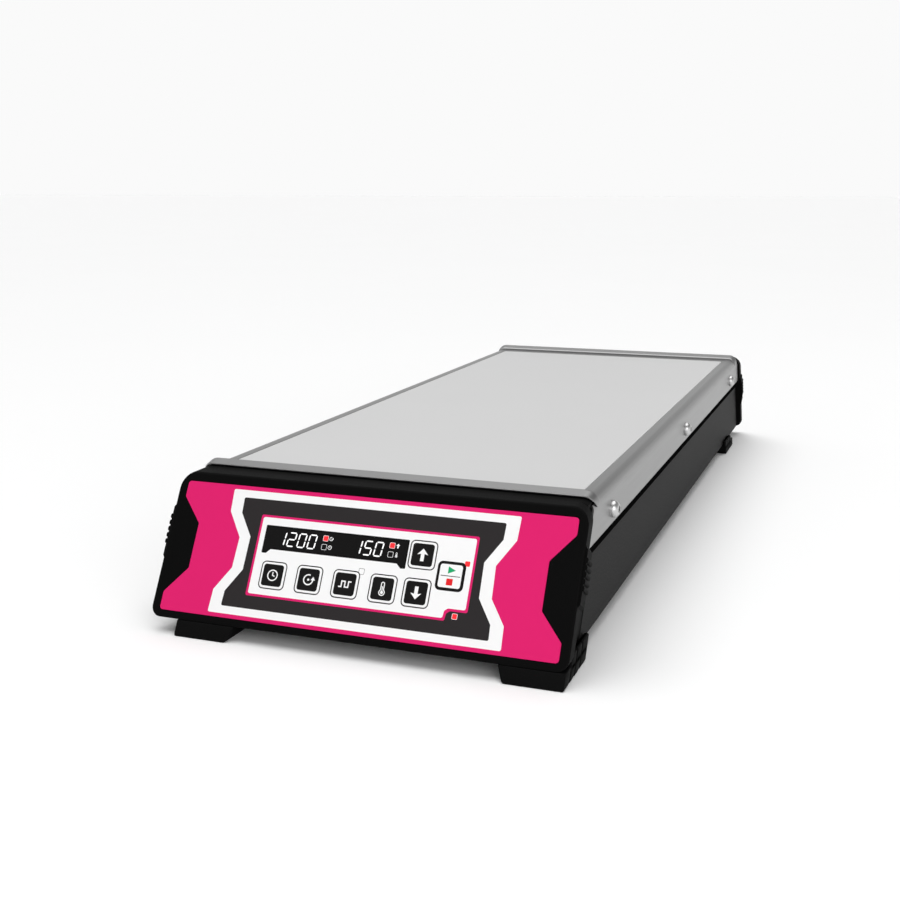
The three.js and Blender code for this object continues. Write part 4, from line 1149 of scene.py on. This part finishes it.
for side, way in (("left", -1), ("right", 1)):
    for place in ("front", "middle", "rear"):
        node = f"cover_screw_{place}_{side}"
        low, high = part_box(node)
        board = (Matrix.Translation((way * cover_high.x, (low.y + high.y) / 2,
                                     (low.z + high.z) / 2))
                 @ Matrix.Rotation(way * math.pi / 2, 4, "Y"))
        socket_head(f"domed_screw_{place}_{side}", DOME_RADIUS, DOME_HEIGHT, DOME_DRIVE, board,
                    body_of(node), "screw_steel", node)
print("screws stand out to", round((cover_high.x + DOME_HEIGHT) / MM, 1), "mm")

# %% [markdown]
# ## Feet
#
# Each foot is a rubber block with grooves down its outer side, moulded with a slope that carries
# the raked face on to the bench. Its outline changes with height, so the foot is lofted from
# outlines seen from above. The right feet have a lug that stands outside the pan.

# %% Feet
FOOT_TOP = 6.85 * MM
FOOT_LENGTH = 38 * MM
FOOT_WIDTH = 30.2 * MM
FOOT_DRAFT = 3 * MM
FOOT_CORNER = 0.8 * MM
FOOT_GROOVES = (9.5, 17.5, 26.5)
GROOVE_HALF = 1.2 * MM
GROOVE_FLOOR_HALF = 0.84 * MM
GROOVE_DEPTH = 1.6 * MM
GROOVE_CORNER = 0.25 * MM
LUG_WIDTH = 2.4 * MM
LUG_SETBACK = RIM_DEPTH + 0.3 * MM
# Heights of the rings and how far each is drawn in, in mm, which rounds the upper and lower edges.
FOOT_RINGS = ((0.0, 0.8), (0.2, 0.25), (0.8, 0.0), (6.6, 0.0), (6.75, 0.08), (6.85, 0.3))
LUG_RINGS = ((5.0, 0.0), (10.4, 0.0), (10.8, 0.2), (11.0, 0.6))


def foot_plan(height, inset, width, draft, setback, grooves):
    """A foot's outline at a height: inwards from its outer side, and back from its front."""
    slide = height * math.tan(RAKE)
    inner = width - draft * max(0, 1 - height / FOOT_TOP) - inset
    front, back = slide + setback + inset, slide + FOOT_LENGTH - inset
    corners = [(inner, front), (inset, front)]
    radii = [FOOT_CORNER] * 2
    for groove in grooves:
        middle, floor = slide + groove * MM, inset + GROOVE_DEPTH
        corners += [(inset, middle - GROOVE_HALF), (floor, middle - GROOVE_FLOOR_HALF),
                    (floor, middle + GROOVE_FLOOR_HALF), (inset, middle + GROOVE_HALF)]
        radii += [GROOVE_CORNER] * 4
    return rounded(corners + [(inset, back), (inner, back)], radii + [FOOT_CORNER] * 2, 3)


def ribbed_foot(end, side):
    node = f"{end}_{side}_foot"
    low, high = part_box(node)
    way = 1 if side == "right" else -1
    spare = FOOT_WIDTH - (high.x - low.x)
    outer = high.x if side == "right" else low.x - spare / 2
    front, ahead = (low.y, 1) if end == "front" else (high.y, -1)
    blocks = [(FOOT_RINGS, (FOOT_WIDTH, FOOT_DRAFT, 0.0, FOOT_GROOVES))]
    if side == "right":
        blocks.append((LUG_RINGS, (LUG_WIDTH, 0.0, LUG_SETBACK, FOOT_GROOVES[1:])))
    shape = bmesh.new()
    for rings, plan in blocks:
        solid(shape, [[(outer - way * across, front + ahead * along, height * MM)
                       for across, along in foot_plan(height * MM, inset * MM, *plan)]
                      for height, inset in rings])
    outwards(shape)
    as_piece(shape, f"{end}_{side}_foot_rubber", AS_DRAWN, [moulded_rubber], body_of(node),
             "foot_rubber", node)


for end in ("front", "rear"):
    for side in ("left", "right"):
        ribbed_foot(end, side)

# %% [markdown]
# ## The painted shadow under the flanges
#
# The cover's flanges lap over the pan, and the shadow that each flange casts on the pan is painted
# as a strip of matt black under it. It is a small rounded profile run along each side.

# %% Painted shadow strips under the flanges
SHADOW_STRIP_HEIGHT = 3.8 * MM
SHADOW_STRIP_WIDTH = 1.6 * MM
SHADOW_STRIP_SUNK = 0.3 * MM
SHADOW_STRIP_CORNER = 0.35 * MM
SHADOW_STRIP_TO_FRONT_FACE, SHADOW_STRIP_TO_REAR_FACE = 9.9 * MM, 9.7 * MM
pan_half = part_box("base_pan")[1].x
shadow_strip_front = front_low.y + rim_slope(cover_low.z) + SHADOW_STRIP_TO_FRONT_FACE
shadow_strip_rear = rear_high.y - rim_slope(cover_low.z) - SHADOW_STRIP_TO_REAR_FACE
# Each strip is matt black and paints the flange's shadow on the pan.
for side, way in (("left", -1), ("right", 1)):
    profile = block(pan_half - SHADOW_STRIP_SUNK + SHADOW_STRIP_WIDTH / 2, cover_low.z - SHADOW_STRIP_HEIGHT / 2,
                    SHADOW_STRIP_WIDTH, SHADOW_STRIP_HEIGHT, SHADOW_STRIP_CORNER, 3)
    shape = bmesh.new()
    solid(shape, [[(way * x, y, z) for x, z in profile] for y in (shadow_strip_front, shadow_strip_rear)])
    outwards(shape)
    as_piece(shape, f"flange_shadow_strip_{side}", AS_DRAWN, [flange_shadow_paint], "housing", "foot_rubber")
# The length of the painted shadow strip.
print("seal length:", round((shadow_strip_rear - shadow_strip_front) / MM, 1), "mm")

# %% [markdown]
# ## Connection end
#
# The far end carries the mains inlet, the switch and a row of air slots in a coated steel plate.
# Inlet and switch are bought parts in black nylon with a spark-eroded skin, so they take the
# finish of the end frames. The plate keeps the shape that the CAD model gives it.

# %% Plate, inlet and switch
softened("rear_panel", "connection_plate", 0.15 * MM, powder_coat, "panel_paint")
softened("mains_inlet", "inlet_shell", 0.3 * MM, moulded_abs, "inlet_plastic")
softened("power_switch", "switch_frame", 0.3 * MM, moulded_abs, "inlet_plastic")
softened("power_rocker", "switch_rocker", 0.3 * MM, moulded_abs, "inlet_plastic")


def on_board(node, board):
    """The middle of a node as a board sees it."""
    seen = [board.inverted() @ v.co for v in nodes[node].data.vertices]
    return [(min(p[i] for p in seen) + max(p[i] for p in seen)) / 2 for i in range(3)]


inlet_x, inlet_y, _ = on_board("mains_inlet", REAR_BOARD)
switch_x, switch_y, _ = on_board("power_switch", REAR_BOARD)
print("inlet and switch across:", round(inlet_x / MM, 1), round(switch_x / MM, 1), "mm")

# %% [markdown]
# ## Blades, marks and small screws
#
# Three blades of nickel-plated brass stand in the inlet, the middle one raised for earth. Plating
# is smooth and slightly yellow beside steel. The rocker carries the usual bar for on and ring for
# off, printed in white on its two sloping halves, so they ride on the rocker and tilt with it. Four
# button-head screws with a six-sided socket hold the plate.

# %% Blades in the inlet
nickel_plate = grained(
    "nickel_plated_brass", ("C6C1B4", "BFBAAD"), 5 * MM, (0.18, 0.26), 0.4 * MM, 0.001 * MM,
    metallic=1.0)
BLADE_FOOT, BLADE_TIP = -17.2 * MM, -9.1 * MM
BLADE_THICK, BLADE_TALL, BLADE_CORNER = 2.1 * MM, 4.1 * MM, 0.2 * MM
TIP_LENGTH, TIP_TAPER = 1.2 * MM, 0.6 * MM
BLADE_PLACES = ((-7, -2), (0, 2.5), (7, -2))
shape = bmesh.new()
for across, above in BLADE_PLACES:
    x, y = inlet_x + across * MM, inlet_y + above * MM
    solid(shape, [[(px, py, out) for px, py in block(x, y, BLADE_THICK - 2 * inset,
                                                     BLADE_TALL - 2 * inset, BLADE_CORNER, 2)]
                  for out, inset in ((BLADE_FOOT, 0), (BLADE_TIP - TIP_LENGTH, 0),
                                     (BLADE_TIP, TIP_TAPER))])
outwards(shape)
as_piece(shape, "inlet_blades", REAR_BOARD, [nickel_plate], "housing", "screw_steel")
print("blade length:", round((BLADE_TIP - BLADE_FOOT) / MM, 1), "mm")

# %% Marks on the rocker
ROCKER_REST = math.radians(6)
ROCKER_AXIS = -1.2 * MM
ROCKER_VALLEY = 3.7 * MM
ROCKER_SLOPE = math.atan(0.14)
MARK_OUT = 5.6 * MM
MARK_PROUD = 0.03 * MM
MARK_THICKNESS = 0.1 * MM
rocker_board = (REAR_BOARD @ Matrix.Translation((switch_x, switch_y, ROCKER_AXIS))
                @ Matrix.Rotation(ROCKER_REST, 4, "X"))
bar_mark = [(block(0, 0, 0.9 * MM, 4.4 * MM, 0.2 * MM, 2), WHITE)]
ring_mark = [(circle(0, 0, 2.1 * MM), WHITE), (circle(0, 0, 1.45 * MM), HOLE)]
for name, mark, way in (("on", bar_mark, 1), ("off", ring_mark, -1)):
    board = (rocker_board
             @ Matrix.Translation((0, way * MARK_OUT,
                                   ROCKER_VALLEY + MARK_OUT * math.tan(ROCKER_SLOPE)))
             @ Matrix.Rotation(way * ROCKER_SLOPE, 4, "X"))
    shape = bmesh.new()
    print_sheet(shape, mark, MARK_PROUD)
    thicken(as_piece(shape, f"rocker_mark_{name}", board, KEYPAD_INKS, body_of("power_rocker"),
                     "fascia_print", smooth=False), MARK_THICKNESS)
print("rocker marks stand", round(MARK_OUT / MM, 1), "mm from its axis")

# %% Screws of the plate
BUTTON_RADIUS, BUTTON_HEIGHT, BUTTON_DRIVE = 2.8 * MM, 1.5 * MM, 2.4 * MM
BUTTON_PLACES = ((-70, 9.6), (70, 9.6), (-70, 61), (70, 61))
for index, (across, above) in enumerate(BUTTON_PLACES, 1):
    board = REAR_BOARD @ Matrix.Translation((across * MM, above * MM, 0))
    socket_head(f"plate_screw_{index}", BUTTON_RADIUS, BUTTON_HEIGHT, BUTTON_DRIVE, board,
                "housing", "screw_steel")
print("plate screws:", len(BUTTON_PLACES))

# %% [markdown]
# ## Hidden pieces
#
# What lies inside is seen only when the cover is off, but each piece is still what it is: a
# galvanised deck with large soft spangles, a green glass-fibre board, glass-filled nylon rotors,
# grey ferrite magnets, an orange silicone heating mat and a pale board of mineral fibre. The CAD
# shapes are right for them, so they keep their mesh and only take a material.

# %% Hidden pieces
galvanised = grained(
    "galvanised_steel", ("A9ADB0", "B6BABD"), 9 * MM, (0.35, 0.5), 2 * MM, 0.004 * MM,
    metallic=1.0)
glass_fibre_board = grained(
    "green_glass_fibre_board", ("1F5F3A", "246842"), 6 * MM, (0.3, 0.45), 0.5 * MM, 0.01 * MM)
acetal = grained(
    "natural_acetal", ("D8D4C8", "D2CEC1"), 10 * MM, (0.35, 0.45), 0.6 * MM, 0.006 * MM)
filled_nylon = grained(
    "glass_filled_nylon", ("2C2E31", "34363A"), 5 * MM, (0.5, 0.65), 0.5 * MM, 0.015 * MM,
    stretch=(1, 0.3, 1))
ferrite = grained(
    "sintered_ferrite", ("4A4A4E", "55555A"), 4 * MM, (0.5, 0.65), 0.4 * MM, 0.02 * MM)
silicone = grained(
    "silicone_rubber", ("B0602A", "A85A27"), 20 * MM, (0.55, 0.7), 0.8 * MM, 0.02 * MM)
fibre_felt = grained(
    "mineral_fibre_board", ("D9D4C6", "CFC9B8"), 4 * MM, (0.85, 0.95), 0.7 * MM, 0.08 * MM)
by_node = {
    "drive_deck": galvanised, "motor": galvanised, "plate_probe": polished_steel,
    "control_board": glass_fibre_board, "power_supply": glass_fibre_board,
    "display_module": black_ink, "motor_pulley": acetal, "drive_belt": moulded_rubber,
    "heater_mat": silicone, "insulation_board": fibre_felt,
}
for side in ("left", "right"):
    for index in range(1, 6):
        by_node[f"magnet_rotor_{side}_{index}"] = filled_nylon
        by_node[f"bar_magnet_{side}_{index}"] = ferrite
for name, material in by_node.items():
    node = nodes[name]
    node.data.materials.clear()
    node.data.materials.append(material)
print("hidden pieces:", len(by_node))

# %% [markdown]
# ## The paper
#
# The floor is a roll of uncoated white paper. Its fibres scatter light evenly, so it has a high,
# even roughness, a bump of a few hundredths of a millimetre and no clear reflection.

# %% Paper
paper = grained(
    "white_paper", ("FCFCFC", "FAFAFA"), 400 * MM, (0.8, 0.9), 1.2 * MM, 0.01 * MM)
sheet.data.materials.append(paper)
print("materials:", len(bpy.data.materials))
